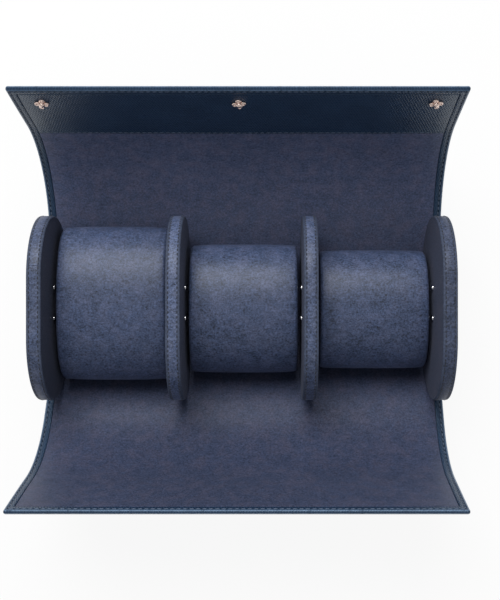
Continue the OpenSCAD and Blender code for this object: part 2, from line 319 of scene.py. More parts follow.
class Shade:
    """Adds nodes to a material's tree or to a group's, a line at a time."""

    def __init__(self, tree: Tree) -> None:
        """Takes the tree that the nodes go into."""
        self.tree = tree

    def add(self, kind: str, inputs: dict[str | int, object] | None = None, **settings: object) -> Node:
        """Adds a node.

        Args:
            kind: Its type, without the ShaderNode prefix.
            inputs: What each socket is set to, or the socket that it is linked from.
            settings: The node's own settings.

        Returns:
            The node.
        """
        node = self.tree.nodes.new("ShaderNode" + kind)
        for name, value in settings.items():
            setattr(node, name, value)
        for name, value in (inputs or {}).items():
            if isinstance(value, Socket):
                self.tree.links.new(value, node.inputs[name])
            else:
                node.inputs[name].default_value = value
        return node

    def maths(self, operation: str, *values: object, clamp: bool = False) -> Socket:
        """Result of a Math node on sockets or numbers."""
        return self.add("Math", dict(enumerate(values)), operation=operation, use_clamp=clamp).outputs[0]

    def graded(self, value: object, factor: object, offset: object) -> Socket:
        """Value times a factor, plus an offset."""
        return self.maths("MULTIPLY_ADD", value, factor, offset)

    def parted(self, vector: Socket) -> bpy.types.bpy_prop_collection:
        """The parts X, Y and Z of a vector."""
        return self.add("SeparateXYZ", {0: vector}).outputs

    def noise(self, vector: Socket, scale: object, detail: float = 3.0, rough: float = 0.6) -> Socket:
        """Result of a Noise Texture, about 0.5 in the middle."""
        node = self.add("TexNoise", {"Vector": vector, "Scale": scale, "Detail": detail, "Roughness": rough})
        return node.outputs["Fac"]

    def mapped(self, vector: Socket, stretch: tuple[float, ...] = (1, 1, 1), turn: float = 0.0) -> Socket:
        """Vector stretched and turned about its third axis."""
        node = self.add("Mapping", {"Vector": vector, "Scale": stretch, "Rotation": (0.0, 0.0, turn)})
        return node.outputs[0]

    def blend(self, amount: object, first: object, second: object) -> Socket:
        """Colour between two, by an amount."""
        node = self.add("Mix", {0: amount, 6: first, 7: second}, data_type="RGBA")
        return node.outputs[2]

    def scaled(self, colour: object, factor: Socket) -> Socket:
        """Colour, without its fourth part, made lighter or darker by a factor."""
        start = colour if isinstance(colour, Socket) else colour[:3]
        return self.add("VectorMath", {0: start, "Scale": factor}, operation="SCALE").outputs[0]

    def stepped(self, value: Socket, low: float, high: float) -> Socket:
        """Value taken smoothly from 0 at low to 1 at high."""
        ends = {"Value": value, "From Min": low, "From Max": high}
        return self.add("MapRange", ends, interpolation_type="SMOOTHSTEP").outputs[0]


class GroupShade(Shade):
    """A shader node group under way, which reads a vector and numbers."""

    def __init__(self, name: str, numbers: tuple[str, ...], results: tuple[str, ...]) -> None:
        """Starts a group.

        Args:
            name: Its name.
            numbers: Its inputs, apart from the vector.
            results: Its outputs, all of them numbers.
        """
        super().__init__(bpy.data.node_groups.new(name, "ShaderNodeTree"))
        sockets = self.tree.interface
        sockets.new_socket("Vector", in_out="INPUT", socket_type="NodeSocketVector")
        for label in numbers:
            sockets.new_socket(label, in_out="INPUT", socket_type="NodeSocketFloat")
        for label in results:
            sockets.new_socket(label, in_out="OUTPUT", socket_type="NodeSocketFloat")
        self.given = self.tree.nodes.new("NodeGroupInput").outputs
        self.vector = self.given["Vector"]
        self.end = self.tree.nodes.new("NodeGroupOutput")

    def put_out(self, **results: Socket) -> Tree:
        """Links the results to the group's outputs.

        Args:
            results: The results, by the names of the outputs.

        Returns:
            The group.
        """
        for label, socket in results.items():
            self.tree.links.new(socket, self.end.inputs[label])
        return self.tree


def mottle_group() -> Tree:
    """Uneven colour at two scales, as on any dyed hide or cloth.

    Returns:
        The group.
    """
    shade = GroupShade("mottle", ("Patch", "Speck", "Depth"), ("Factor",))
    patch = shade.noise(shade.vector, shade.given["Patch"], detail=3.0, rough=0.5)
    speck = shade.noise(shade.vector, shade.given["Speck"], detail=4.0, rough=0.5)
    speck_share = 0.5
    middle = 0.5 * (1 + speck_share)
    swing = shade.maths("SUBTRACT", shade.graded(speck, speck_share, patch), middle)
    return shade.put_out(Factor=shade.graded(swing, shade.given["Depth"], 1.0))


@dataclass(frozen=True)
class NapNoise:
    """One unevenness of a nap: its stretch along the fibres, its noise, and its share in the colour."""

    stretch: float
    scale: float
    detail: float
    rough: float
    share: float


NAP = {
    "fibre": NapNoise(stretch=0.85, scale=1000.0, detail=5.0, rough=0.75, share=2.6),
    "stroke": NapNoise(stretch=0.45, scale=420.0, detail=3.0, rough=0.6, share=0.5),
    "patch": NapNoise(stretch=1.0, scale=130.0, detail=5.0, rough=0.7, share=0.9),
    "lie": NapNoise(stretch=0.7, scale=24.0, detail=2.0, rough=0.5, share=0.25),
}


def nap_group() -> Tree:
    """Brushed nap: fine fibres, strokes along one direction and soft patches where it lies another way.

    Returns:
        The group.
    """
    shade = GroupShade("nap", ("Strength",), ("Factor", "Lie", "Height"))
    total: object = 0.0
    found = {}
    for name, layer in NAP.items():
        stretched = shade.mapped(shade.vector, (layer.stretch, 1.0, 1.0))
        found[name] = shade.noise(stretched, layer.scale, layer.detail, layer.rough)
        total = shade.graded(shade.maths("SUBTRACT", found[name], 0.5), layer.share, total)
    return shade.put_out(
        Factor=shade.graded(total, shade.given["Strength"], 1.0),
        Lie=shade.stepped(found["patch"], low=0.38, high=0.66),
        Height=shade.graded(found["stroke"], 0.5, found["fibre"]),
    )


def cross_grain_group() -> Tree:
    """Embossed cross grain: two sets of fine ridges that cross on the slant.

    Returns:
        The group.
    """
    shade = GroupShade("cross_grain", ("Pitch",), ("Height", "Wear"))
    waves = {"Scale": shade.given["Pitch"], "Distortion": 1.3, "Detail": 2.0, "Detail Scale": 1.3}
    slants = ((1.2, 1.0), (-1.2, 0.85))
    ridges = []
    for turn, size in slants:
        turned = shade.mapped(shade.vector, turn=turn)
        wave = shade.add("TexWave", {"Vector": turned, **waves}, bands_direction="Y")
        ridges.append(shade.maths("MULTIPLY", wave.outputs["Fac"], size))
    broken = shade.stepped(shade.noise(shade.vector, 600.0, detail=2.0, rough=0.5), low=0.22, high=0.5)
    height = shade.maths("MULTIPLY", shade.maths("MAXIMUM", *ridges), broken)
    wear_and_highlight = shade.stepped(shade.noise(shade.vector, 60.0), low=0.45, high=0.75)
    return shade.put_out(Height=height, Wear=shade.maths("MULTIPLY", height, wear_and_highlight))


def edge_wear_and_highlight_group() -> Tree:
    """Masks in the flat pattern of the turned edges, for wear and a painted highlight, and of the sewn crease
    beside them, for painted shade.

    Returns:
        The group.
    """
    shade = GroupShade("edge_wear_and_highlight", ("Half", "Back", "Front", "Band", "Seam"), ("Mask", "Crease"))
    place, given = shade.parted(shade.vector), shade.given
    side = shade.maths("SUBTRACT", given["Half"], shade.maths("ABSOLUTE", place["X"]))
    back = shade.maths("SUBTRACT", given["Back"], place["Y"])
    front = shade.maths("ADD", given["Front"], place["Y"])
    gap = shade.maths("MINIMUM", shade.maths("MINIMUM", side, back), front)
    far = shade.maths("DIVIDE", shade.maths("ABSOLUTE", gap), given["Band"])
    close = shade.maths("SUBTRACT", 1.0, far, clamp=True)
    broken = shade.stepped(shade.noise(shade.vector, 300.0, detail=4.0, rough=0.7), low=0.2, high=0.6)
    off = shade.maths("ABSOLUTE", shade.maths("SUBTRACT", gap, given["Seam"]))
    return shade.put_out(
        Mask=shade.maths("MULTIPLY", close, broken, clamp=True),
        Crease=shade.maths("SUBTRACT", 1.0, shade.stepped(off, low=0.1 * MM, high=0.6 * MM)),
    )


class Groups:
    """The effects that several finishes share, each built once."""

    def __init__(self) -> None:
        """Builds the shader node groups."""
        self.mottle = mottle_group()
        self.nap = nap_group()
        self.cross_grain = cross_grain_group()
        self.edge_wear_and_highlight = edge_wear_and_highlight_group()


class Finish(Shade):
    """A material under way, with its shader and its coordinates at hand."""

    def __init__(self, name: str, **constants: object) -> None:
        """Starts a material.

        Args:
            name: Its name.
            constants: Shader sockets that are the same all over, with underscores for spaces.
        """
        self.material = bpy.data.materials.new(name)
        self.material.use_nodes = True
        super().__init__(self.material.node_tree)
        self.shader = self.tree.nodes["Principled BSDF"]
        for label, value in constants.items():
            self.shader.inputs[label.replace("_", " ")].default_value = value
        coordinates = self.add("TexCoord").outputs
        self.object, self.uv = coordinates["Object"], coordinates["UV"]

    def place(self, group: Tree, **inputs: object) -> bpy.types.bpy_prop_collection:
        """Outputs of a shared group that is placed with this material's own values."""
        return self.add("Group", inputs, node_tree=group).outputs

    def feed(self, label: str, socket: Socket) -> None:
        """Links a socket into the shader."""
        self.tree.links.new(socket, self.shader.inputs[label])

    def emboss(self, height: Socket, strength: float, depth: float, lean: float = 0.0) -> None:
        """Feeds a height to the shader's normal.

        Args:
            height: The height.
            strength: How much of it shows.
            depth: How deep it is at full strength.
            lean: How far the normal leans towards the object's -Y, as brushed fibres do.
        """
        bump = self.add("Bump", {"Height": height, "Strength": strength, "Distance": depth})
        normal = bump.outputs["Normal"]
        if lean:
            spaces = {"vector_type": "VECTOR", "convert_from": "OBJECT", "convert_to": "WORLD"}
            brushed = self.add("VectorTransform", {0: (0.0, -lean, 0.0)}, **spaces).outputs[0]
            total = self.add("VectorMath", {0: normal, 1: brushed}, operation="ADD").outputs[0]
            normal = self.add("VectorMath", {0: total}, operation="NORMALIZE").outputs[0]
        self.feed("Normal", normal)


@dataclass(frozen=True)
class Suede:
    """Dyed suede: a matt brushed nap whose colour drifts between two near shades.

    Strength is the nap's unevenness, bloom the colour of its sheen, lustre the gleam of its tips and lean the
    way it is brushed. Rough is the roughness where it lies flat and where it stands up. A painted light
    lightens the back flap's colour along the object's Y, from the first place of its span to the second. Rub
    places are the distances from the middle of the roll of faint lines, where the inner dividers press the
    nap when the roll is shut. A lighter edge is the colour outside the rim, where the faces' painted shade
    gives way; the rim is a stadium's half length, middle height and radius.
    """

    name: str
    tint: Colour
    drift: Colour
    strength: float
    gloss: float = 0.1
    sheen: float = 0.05
    sheen_rough: float = 0.5
    bloom: Colour = (0.62, 0.70, 0.90, 1.0)
    lustre: float = 0.0
    lustre_rough: float = 0.42
    rough: Pair = (0.58, 0.66)
    relief: float = 0.55
    deep: float = 0.3 * MM
    lean: float = 0.0
    painted_back_light: float = 0.0
    painted_back_light_span: Pair = (38 * MM, 92 * MM)
    rub_places: tuple[float, ...] = ()
    rub_wide: float = 0.7 * MM
    rub_share: float = 0.12
    lighter_edge: Colour | None = None
    rim: tuple[float, float, float] = (17 * MM, 40.3 * MM, 37.5 * MM)
    rim_fade: Pair = (1.3 * MM, 0.5 * MM)

    def make(self, groups: Groups) -> Material:
        """Builds the material.

        Args:
            groups: The shared effects.

        Returns:
            The material.
        """
        made = Finish(
            self.name, Sheen_Weight=self.sheen, Sheen_Roughness=self.sheen_rough, Sheen_Tint=self.bloom,
            Specular_IOR_Level=self.gloss, Coat_Weight=self.lustre, Coat_Roughness=self.lustre_rough,
        )
        nap = made.place(groups.nap, Vector=made.object, Strength=self.strength)
        colour = made.blend(nap["Lie"], self.tint, self.drift)
        factor = nap["Factor"]
        # Outside the rim the faces' painted shade gives way to a lighter colour.
        if self.lighter_edge:
            colour = made.blend(self.rim_mask(made), colour, self.lighter_edge)
        if self.rub_places:
            factor = made.maths("ADD", factor, self.rub_lines(made))
        # Painted light: the back flap's colour is made lighter along the object's Y.
        if self.painted_back_light:
            back_light_ramp = made.stepped(made.parted(made.object)["Y"], *self.painted_back_light_span)
            factor = made.maths("MULTIPLY", factor, made.graded(back_light_ramp, self.painted_back_light, 1.0))
        made.feed("Base Color", made.scaled(colour, factor))
        smooth, rough = self.rough
        made.feed("Roughness", made.graded(nap["Lie"], rough - smooth, smooth))
        made.emboss(nap["Height"], self.relief, self.deep, self.lean)
        return made.material

    def rim_mask(self, made: Finish) -> Socket:
        """Mask of what lies outside the rim.

        Args:
            made: The material under way.

        Returns:
            The mask.
        """
        half, middle, radius = self.rim
        place = made.parted(made.object)
        along = made.maths("MAXIMUM", made.maths("SUBTRACT", made.maths("ABSOLUTE", place["Y"]), half), 0.0)
        up = made.maths("SUBTRACT", place["Z"], middle)
        out = made.maths("SQRT", made.graded(along, along, made.maths("MULTIPLY", up, up)))
        return made.stepped(out, *[radius - inside for inside in self.rim_fade])

    def rub_lines(self, made: Finish) -> Socket:
        """What the rubbed lines add to the nap's factor.

        Args:
            made: The material under way.

        Returns:
            The sum to add.
        """
        away = made.maths("ABSOLUTE", made.parted(made.object)["X"])
        total: object = 0.0
        for place in self.rub_places:
            gap = made.maths("ABSOLUTE", made.maths("SUBTRACT", away, place))
            line = made.maths("SUBTRACT", 1.0, made.stepped(gap, low=0.0, high=self.rub_wide))
            total = made.maths("ADD", total, line)
        broken = made.stepped(made.noise(made.object, 45.0, detail=2.0), low=0.42, high=0.62)
        return made.maths("MULTIPLY", made.maths("MULTIPLY", total, broken), self.rub_share)


@dataclass(frozen=True)
class CrossGrain:
    """Navy hide embossed with a fine cross grain and finished with a slight gloss.

    Rough is the roughness in the valleys of the grain and on its ridges. The edges are the distances of the
    sides, the back end and the front end from the middle of the pattern. The turned edges are lightened by
    wear and a painted highlight, and the sewn crease beside them is darkened with painted shade.
    """

    name: str = "cross_grain_leather"
    tint: Colour = (0.009, 0.023, 0.053, 1.0)
    worn: Colour = (0.032, 0.064, 0.124, 1.0)
    wear_and_highlight: Colour = (0.170, 0.255, 0.385, 1.0)
    gleam: Colour = (0.68, 0.86, 1.0, 1.0)
    gloss: float = 0.42
    rough: Pair = (0.44, 0.30)
    relief: float = 0.8
    deep: float = 0.2 * MM
    pitch: float = 224.0
    ridge_share: float = 0.5
    wear_share: float = 0.25
    crease_painted_shade: float = 0.65
    edges: tuple[float, float, float] = (122 * MM, 176.5 * MM, 170.5 * MM)
    wear_and_highlight_wide: float = 1.3 * MM
    seam_in: float = 2.1 * MM

    def make(self, groups: Groups) -> Material:
        """Builds the material.

        Args:
            groups: The shared effects.

        Returns:
            The material.
        """
        made = Finish(self.name, Specular_IOR_Level=self.gloss, Specular_Tint=self.gleam)
        grain = made.place(groups.cross_grain, Vector=made.uv, Pitch=self.pitch)
        mottle = made.place(groups.mottle, Vector=made.object, Patch=60.0, Speck=1500.0, Depth=0.5)
        half, back, front = self.edges
        wear_highlight_and_shade = made.place(
            groups.edge_wear_and_highlight, Vector=made.uv, Half=half, Back=back, Front=front, Band=self.wear_and_highlight_wide,
            Seam=self.seam_in,
        )
        ridges = made.maths("MULTIPLY", grain["Height"], self.ridge_share)
        raised = made.graded(grain["Wear"], self.wear_share, ridges)
        colour = made.blend(raised, self.tint, self.worn)
        # Turned edges lightened: wear, and a painted highlight where the light catches them.
        colour = made.blend(wear_highlight_and_shade["Mask"], colour, self.wear_and_highlight)
        # Darker in the sewn crease: painted shade.
        colour = made.scaled(colour, made.graded(wear_highlight_and_shade["Crease"], -self.crease_painted_shade, 1.0))
        made.feed("Base Color", made.scaled(colour, mottle["Factor"]))
        valley, ridge = self.rough
        made.feed("Roughness", made.graded(grain["Height"], ridge - valley, valley))
        made.emboss(grain["Height"], self.relief, self.deep)
        return made.material


@dataclass(frozen=True)
class Thread:
    """Twisted sewing thread, with painted shade in its grooves and a painted highlight on its strands."""

    name: str
    tint: Colour
    rough: float = 0.6
    sheen: float = 0.2
    gloss: float = 0.4
    twist_turn: float = 0.7
    twist_scale: float = 900.0
    twist_bent: float = 0.6
    groove_painted_shade: float = 0.7
    strand_painted_light: float = 0.5
    relief: float = 0.5
    deep: float = 0.08 * MM

    def make(self, groups: Groups) -> Material:
        """Builds the material.

        Args:
            groups: The shared effects.

        Returns:
            The material.
        """
        made = Finish(
            self.name, Roughness=self.rough, Sheen_Weight=self.sheen, Specular_IOR_Level=self.gloss
        )
        mottle = made.place(groups.mottle, Vector=made.object, Patch=300.0, Speck=3000.0, Depth=0.9)
        turned = made.mapped(made.object, turn=self.twist_turn)
        waves = {"Vector": turned, "Scale": self.twist_scale, "Distortion": self.twist_bent}
        twist = made.add("TexWave", waves).outputs["Fac"]
        # Painted shade in the grooves of the twist and a painted highlight on its strands.
        painted_twist_light = made.graded(twist, self.strand_painted_light, self.groove_painted_shade)
        made.feed("Base Color", made.scaled(self.tint, made.maths("MULTIPLY", mottle["Factor"], painted_twist_light)))
        made.emboss(twist, self.relief, self.deep)
        return made.material


@dataclass(frozen=True)
class Plated:
    """Polished plate over brass or steel, with faint wipe marks."""

    name: str
    tint: Colour
    roughness: float
    wiped: float = 0.06
    wipe_stretch: tuple[float, ...] = (1.0, 8.0, 1.0)
    wipe_scale: float = 500.0

    def make(self, groups: Groups) -> Material:
        """Builds the material.

        Args:
            groups: The shared effects.

        Returns:
            The material.
        """
        made = Finish(self.name, Metallic=1.0)
        mottle = made.place(groups.mottle, Vector=made.object, Patch=220.0, Speck=2400.0, Depth=0.25)
        made.feed("Base Color", made.scaled(self.tint, mottle["Factor"]))
        wipe = made.noise(made.mapped(made.object, self.wipe_stretch), self.wipe_scale)
        made.feed("Roughness", made.graded(wipe, 2 * self.wiped, self.roughness - self.wiped))
        return made.material


@dataclass(frozen=True)
class Core:
    """Board or foam inside the covers: rough, with flecks."""

    name: str
    tint: Colour
    grain: float
    depth: float
    rough: float = 0.9
    relief: float = 0.6

    def make(self, groups: Groups) -> Material:
        """Builds the material.

        Args:
            groups: The shared effects.

        Returns:
            The material.
        """
        made = Finish(self.name, Roughness=self.rough)
        flecks = {"Patch": self.grain / 8, "Speck": self.grain, "Depth": 0.6}
        mottle = made.place(groups.mottle, Vector=made.object, **flecks)
        made.feed("Base Color", made.scaled(self.tint, mottle["Factor"]))
        made.emboss(made.noise(made.object, self.grain), self.relief, self.depth)
        return made.material


class Finishes:
    """Every finish of the roll, made once.

    Each divider's band is lighter or darker than the first colour by a tone of its own. Each divider's faces
    carry painted shade in their darker colour and painted light of their own, least on the first divider.
    """

    # Each divider's band is lighter or darker than the first colour by a factor of its own.
    BAND_TONES = (1.0, 1.32, 1.1, 0.72)
    # Painted light on each divider's faces, least on the first divider.
    FACE_PAINTED_LIGHT = (1.1, 1.45, 1.5, 1.55)

    def __init__(self) -> None:
        """Makes the materials."""
        groups = Groups()
        self.leather = CrossGrain().make(groups)
        # The lining's back flap is lightened with painted light.
        self.lining = Suede(
            name="lining_suede", tint=(0.045, 0.059, 0.112, 1), drift=(0.053, 0.058, 0.100, 1), strength=1.0,
            lustre=0.25, lean=-0.35, painted_back_light=0.6, rub_places=(34.5 * MM, 42.7 * MM),
        ).make(groups)
        self.cushion = Suede(
            name="cushion_suede", tint=(0.059, 0.086, 0.170, 1), drift=(0.068, 0.086, 0.156, 1), strength=1.7,
            lustre=0.6, lean=0.34,
        ).make(groups)
        self.bands = [
            Suede(
                name=f"divider_{number}_suede", tint=self.tone_scaled((0.063, 0.087, 0.162), brightness),
                drift=self.tone_scaled((0.074, 0.090, 0.148), brightness), strength=1.8, lustre=0.5, lean=0.3,
            ).make(groups)
            for number, brightness in enumerate(self.BAND_TONES, 1)
        ]
        # The faces' darker colour is painted shade, as they stand between the dividers.
        self.faces = [
            Suede(
                name=f"divider_{number}_face_shaded_suede", tint=self.tone_scaled((0.034, 0.041, 0.068), brightness),
                drift=self.tone_scaled((0.039, 0.041, 0.062), brightness), strength=0.9, gloss=0.2,
                lighter_edge=(0.050, 0.064, 0.104, 1.0),
            ).make(groups)
            for number, brightness in enumerate(self.FACE_PAINTED_LIGHT, 1)
        ]
        self.thread = Thread("sewing_thread", (0.10, 0.14, 0.215, 1)).make(groups)
        self.dark_thread = Thread("divider_thread", (0.011, 0.015, 0.028, 1)).make(groups)
        self.rose_gold = Plated("rose_gold_plate", (0.93, 0.74, 0.66, 1), 0.22).make(groups)
        self.steel = Plated("steel_plate", (0.78, 0.78, 0.8, 1), 0.16).make(groups)
        self.board = Core("fibreboard", (0.26, 0.21, 0.15, 1), 900.0, 0.1 * MM).make(groups)
        self.foam = Core("open_cell_foam", (0.68, 0.66, 0.60, 1), 1400.0, 0.3 * MM).make(groups)

    @staticmethod
    def tone_scaled(colour: tuple[float, float, float], depth: float) -> Colour:
        """Colour made lighter or darker by a factor."""
        return (*(part * depth for part in colour), 1.0)


# ---------------------------------------------------------------- the wrap


@dataclass(frozen=True)
class Curl:
    """Open shape of a flap, along the middle of its thickness from the middle of the base.

    It curls up from the base to its rise, runs straight and bends on to its lean, both in degrees. Strips are
    the widths from fold to fold, from the base out, and lined is how many of them have the suede lining.
    Overhang is what the turned edge adds to the free end, and drift is how far that end leans sideways.
    """

    word: str
    side: int
    length: float
    rise: float
    run: float
    bend_r: float
    lean: float
    strips: tuple[float, ...]
    lined: int
    overhang: float
    drift: float
    base_flat: float = 34 * MM
    base_r: float = 38.9 * MM
    base_z: float = 1.4 * MM

    def spot(self, s: float) -> tuple[float, float, float]:
        """Where the flap runs.

        Args:
            s: Distance along it from the middle of the base.

        Returns:
            Distance from the middle of the roll, height and slope.
        """
        rise, lean = math.radians(self.rise), math.radians(self.lean)
        y, z, slope = 0.0, self.base_z, 0.0
        stretches = (
            (self.base_flat / 2, 0.0), (self.base_r * rise, self.base_r), (self.run, 0.0),
            (self.bend_r * (lean - rise), self.bend_r), (math.inf, 0.0),
        )
        for long, radius in stretches:
            step = min(s, long)
            if radius:
                turn = step / radius
                y += radius * (math.sin(slope + turn) - math.sin(slope))
                z += radius * (math.cos(slope) - math.cos(slope + turn))
                slope += turn
            else:
                y += step * math.cos(slope)
                z += step * math.sin(slope)
            s -= step
            if s <= 0:
                break
        return y, z, slope

    def reach(self) -> float:
        """Distance of the free end from the middle of the base, with what the turned edge adds."""
        return self.length + self.overhang

    def folds(self) -> list[float]:
        """Where the folds lie, from the base out."""
        return [self.length - sum(self.strips[i:]) for i in range(len(self.strips))]

    def facing_start(self) -> float:
        """Where the leather facing takes over from the lining, or infinity where none does."""
        return self.folds()[self.lined] if self.lined < len(self.strips) else math.inf

    def signed(self, start: float, end: float) -> Pair:
        """Two distances along the flap as signed distances along the wrap, the lower one first."""
        return (start, end) if self.side == BACK else (-end, -start)


@dataclass(frozen=True)
class Span:
    """A stretch of a flap that is one piece in each layer, with the bodies on either side of its fold.

    A span crosses one fold and lies between two bodies, or rides on one where inner and outer are the same.
    """

    name: str
    curl: Curl
    start: float
    end: float
    inner: str
    outer: str
    strips: tuple[int, ...]
    is_end: bool = False

    def limits(self) -> Pair:
        """Its two ends as signed distances along the wrap, the lower one first."""
        return self.curl.signed(self.start, self.end)


@dataclass
class Wrap:
    """The leather wrap with its lining, facing and stitches.

    Each wave of its unevenness has a size, a pitch across, a pitch along and a start.
    """

    finishes: Finishes
    back: Curl = Curl(
        word="back", side=BACK, length=175.508 * MM, rise=20, run=31 * MM, bend_r=72.5 * MM, lean=75.6,
        strips=tuple(w * MM for w in (10, 13.5, 26.5, 34, 19.5, 33.5)), lined=4, overhang=1.0 * MM,
        drift=-1.2 * MM,
    )
    front: Curl = Curl(
        word="front", side=FRONT, length=169.008 * MM, rise=30, run=36 * MM, bend_r=61.5 * MM, lean=78.6,
        strips=tuple(w * MM for w in (9, 12.5, 20.5, 32.5, 16, 33)), lined=6, overhang=1.5 * MM,
        drift=-1.8 * MM,
    )
    width: float = 244 * MM
    half_t: float = 1.4 * MM
    leather_t: float = 1.2 * MM
    board_t: float = 0.8 * MM
    border: float = 5 * MM
    lining_sink: float = 0.2 * MM
    facing_sink: float = 0.08 * MM
    edge_r: float = 1.3 * MM
    edge_facets: int = 5
    lip_r: float = 0.4 * MM
    lip_facets: int = 2
    crease_w: float = 0.45 * MM
    crease_d: float = 0.36 * MM
    pulled: float = 0.9 * MM
    pull_reach: float = 1.6 * MM
    base_lead: float = 6 * MM
    panel_lead: float = 5 * MM
    facet: float = 1.6 * MM
    facet_x: float = 7.6 * MM
    stitch_in: float = 2.9 * MM
    stitch_pitch: float = 3.4 * MM
    stitch_long: float = 2.5 * MM
    stitch_wide: float = 0.55 * MM
    stitch_turn: float = 0.1
    facing_stitch_in: float = 1.3 * MM
    facing_stitch_end: float = 1 * MM
    still: float = 45 * MM
    ripple_in: float = 35 * MM
    ripple_out: float = 30 * MM
    ripple_up: float = 0.16 * MM
    waves: tuple[tuple[float, ...], ...] = ((1.0, 31, 9, 0), (0.6, -47, 38, 1.3), (0.4, 83, 64, 0))

    def __post_init__(self) -> None:
        """Works out where the board, the borders and the side stitches lie."""
        self.floor = self.leather_t - self.half_t
        self.inside = self.width / 2 - self.border
        self.seam_in = self.border - self.stitch_in
        self.seam_x = self.width / 2 - self.seam_in

    def curl(self, s: float) -> Curl:
        """The flap that a signed distance lies on."""
        return self.back if s >= 0 else self.front

    def ripple(self, x: float, s: float) -> float:
        """Slight unevenness of the flaps, none where the dividers stand on the wrap.

        Args:
            x: Place across the roll.
            s: Signed distance along the wrap.

        Returns:
            How far the wrap rises there.
        """
        free = clipped((abs(s) - self.still) / self.ripple_in)
        end = clipped((self.curl(s).length - abs(s)) / self.ripple_out)
        wave = 0.0
        for size, across, along, first in self.waves:
            wave += size * math.sin(across * x + along * s + first)
        return self.ripple_up * free * end * wave

    def drift(self, s: float) -> float:
        """How far soft leather leans sideways towards the end of a flap.

        Args:
            s: Signed distance along the wrap.

        Returns:
            Its shift along X.
        """
        curl = self.curl(s)
        share = max(0.0, (abs(s) - self.still) / (curl.length - self.still))
        return curl.drift * share * share * (3 - 2 * share)

    def place(self, x: float, s: float, o: float) -> Vector:
        """Lays a point of the flat pattern on the open wrap.

        Args:
            x: Its place across the roll.
            s: Its distance along the wrap, negative on the front flap.
            o: Its height above the middle of the wrap's thickness, on the inner side.

        Returns:
            Its place in the row frame.
        """
        curl = self.curl(s)
        y, z, slope = curl.spot(abs(s))
        o += self.ripple(x, s)
        x += self.drift(s)
        return Vector((x, curl.side * (y - o * math.sin(slope)), z + o * math.cos(slope)))

    def lay(self, bm: Mesh) -> None:
        """Lays a flat pattern on the wrap, with its UV map set while it is still flat.

        Args:
            bm: The pattern.
        """
        pattern_uv(bm)
        for vert in bm.verts:
            vert.co = self.place(*vert.co)

    def stand(self, x: float, s: float, o: float, outward: bool = False) -> Matrix:
        """Frame on the wrap for a metal part.

        Args:
            x: Its place across the roll.
            s: Its distance along the wrap, negative on the front flap.
            o: Its height above the middle surface.
            outward: True where the part faces away from the dividers.

        Returns:
            A matrix whose third axis points out of the wrap.
        """
        curl = self.curl(s)
        slope = curl.spot(abs(s))[2]
        up = Vector((0, -curl.side * math.sin(slope), math.cos(slope))) * (-1 if outward else 1)
        right = Vector((1, 0, 0))
        turn = Matrix((right, up.cross(right), up)).transposed().to_4x4()
        return Matrix.Translation(self.place(x, s, o)) @ turn

    def spans(self, curl: Curl) -> list[Span]:
        """The stretches that a flap is made in, from the base out.

        Args:
            curl: The flap.

        Returns:
            One span for each fold, and the panel at the end.
        """
        folds = curl.folds()
        ends = [folds[0] - self.base_lead]
        ends += [(a + b) / 2 for a, b in zip(folds, folds[1:])]
        ends += [folds[-1] + self.panel_lead, curl.reach()]
        last = len(folds)
        bodies = ["root"] + [f"{curl.word}_strip_{i}" for i in range(1, last + 1)]
        found = []
        for i in range(1, last + 1):
            strips = tuple(k for k in (i - 1, i) if k > 0)
            ride = (ends[i - 1], ends[i], bodies[i - 1], bodies[i])
            found.append(Span(f"{curl.word}_fold_{i}", curl, *ride, strips))
        ride = (ends[last], ends[last + 1], bodies[last], bodies[last])
        return found + [Span(f"{curl.word}_panel", curl, *ride, (last,), True)]

    def base_limits(self) -> Pair:
        """Where the base ends on both sides."""
        return self.base_lead - self.front.folds()[0], self.back.folds()[0] - self.base_lead

    def follow(self, piece: Piece, span: Span) -> None:
        """Makes a piece ride on its span's body where the span doesn't bend, and otherwise only bakes its
        place.

        Args:
            piece: The piece.
            span: The span that it belongs to.
        """
        if span.inner == span.outer:
            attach(piece, span.outer)
            return
        ends = [self.place(0, span.curl.side * s, 0) for s in (span.start, span.end)]
        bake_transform(piece)

    def leather(self, name: str, limits: Pair, free_end: float | None) -> Piece:
        """Outer leather with its edges turned over the lining.

        Args:
            name: Name of the piece.
            limits: Its two ends along the wrap.
            free_end: The end that is turned over too, if it has one.

        Returns:
            The piece.
        """
        bm = slab((-self.width / 2, self.width / 2), limits, (-self.half_t, self.half_t))
        slice_at(bm, X, (-self.inside, self.inside))
        slice_at(bm, O, (self.floor,))
        pocket = list(limits)
        if free_end is not None:
            bound = free_end - math.copysign(self.border, free_end)
            slice_at(bm, S, (bound,))
            pocket[limits.index(free_end)] = bound
        cut_ends = [s for s in limits if s != free_end]
        self.sink_pocket(bm, pocket, cut_ends)
        self.turn_edges(bm, cut_ends, free_end)
        if free_end is not None:
            self.pull_over(bm, free_end)
        self.crease(bm, free_end)
        self.facet_flat(bm, limits)
        self.lay(bm)
        return finished(bm, name, self.finishes.leather)

    def facet_flat(self, bm: Mesh, limits: Pair) -> None:
        """Splits a flat layer finely enough to bend.

        Args:
            bm: The layer.
            limits: Its two ends along the wrap.
        """
        slice_at(bm, X, spread(-self.inside, self.inside, self.facet_x))
        slice_at(bm, S, spread(*limits, self.facet))

    def sink_pocket(self, bm: Mesh, pocket: list[float], cut_ends: list[float]) -> None:
        """Sinks the pocket in which board and lining lie, open where the leather runs on.

        Args:
            bm: The leather, still flat.
            pocket: The two ends of the pocket along the wrap.
            cut_ends: The ends at which the next piece of leather joins.
        """
        low, high = pocket

        def over_pocket(face: bmesh.types.BMFace) -> bool:
            """True for faces inside the sides of the pocket."""
            middle = face.calc_center_median()
            return abs(middle.x) < self.inside - 10 * SAME and low - SAME <= middle.y <= high + SAME

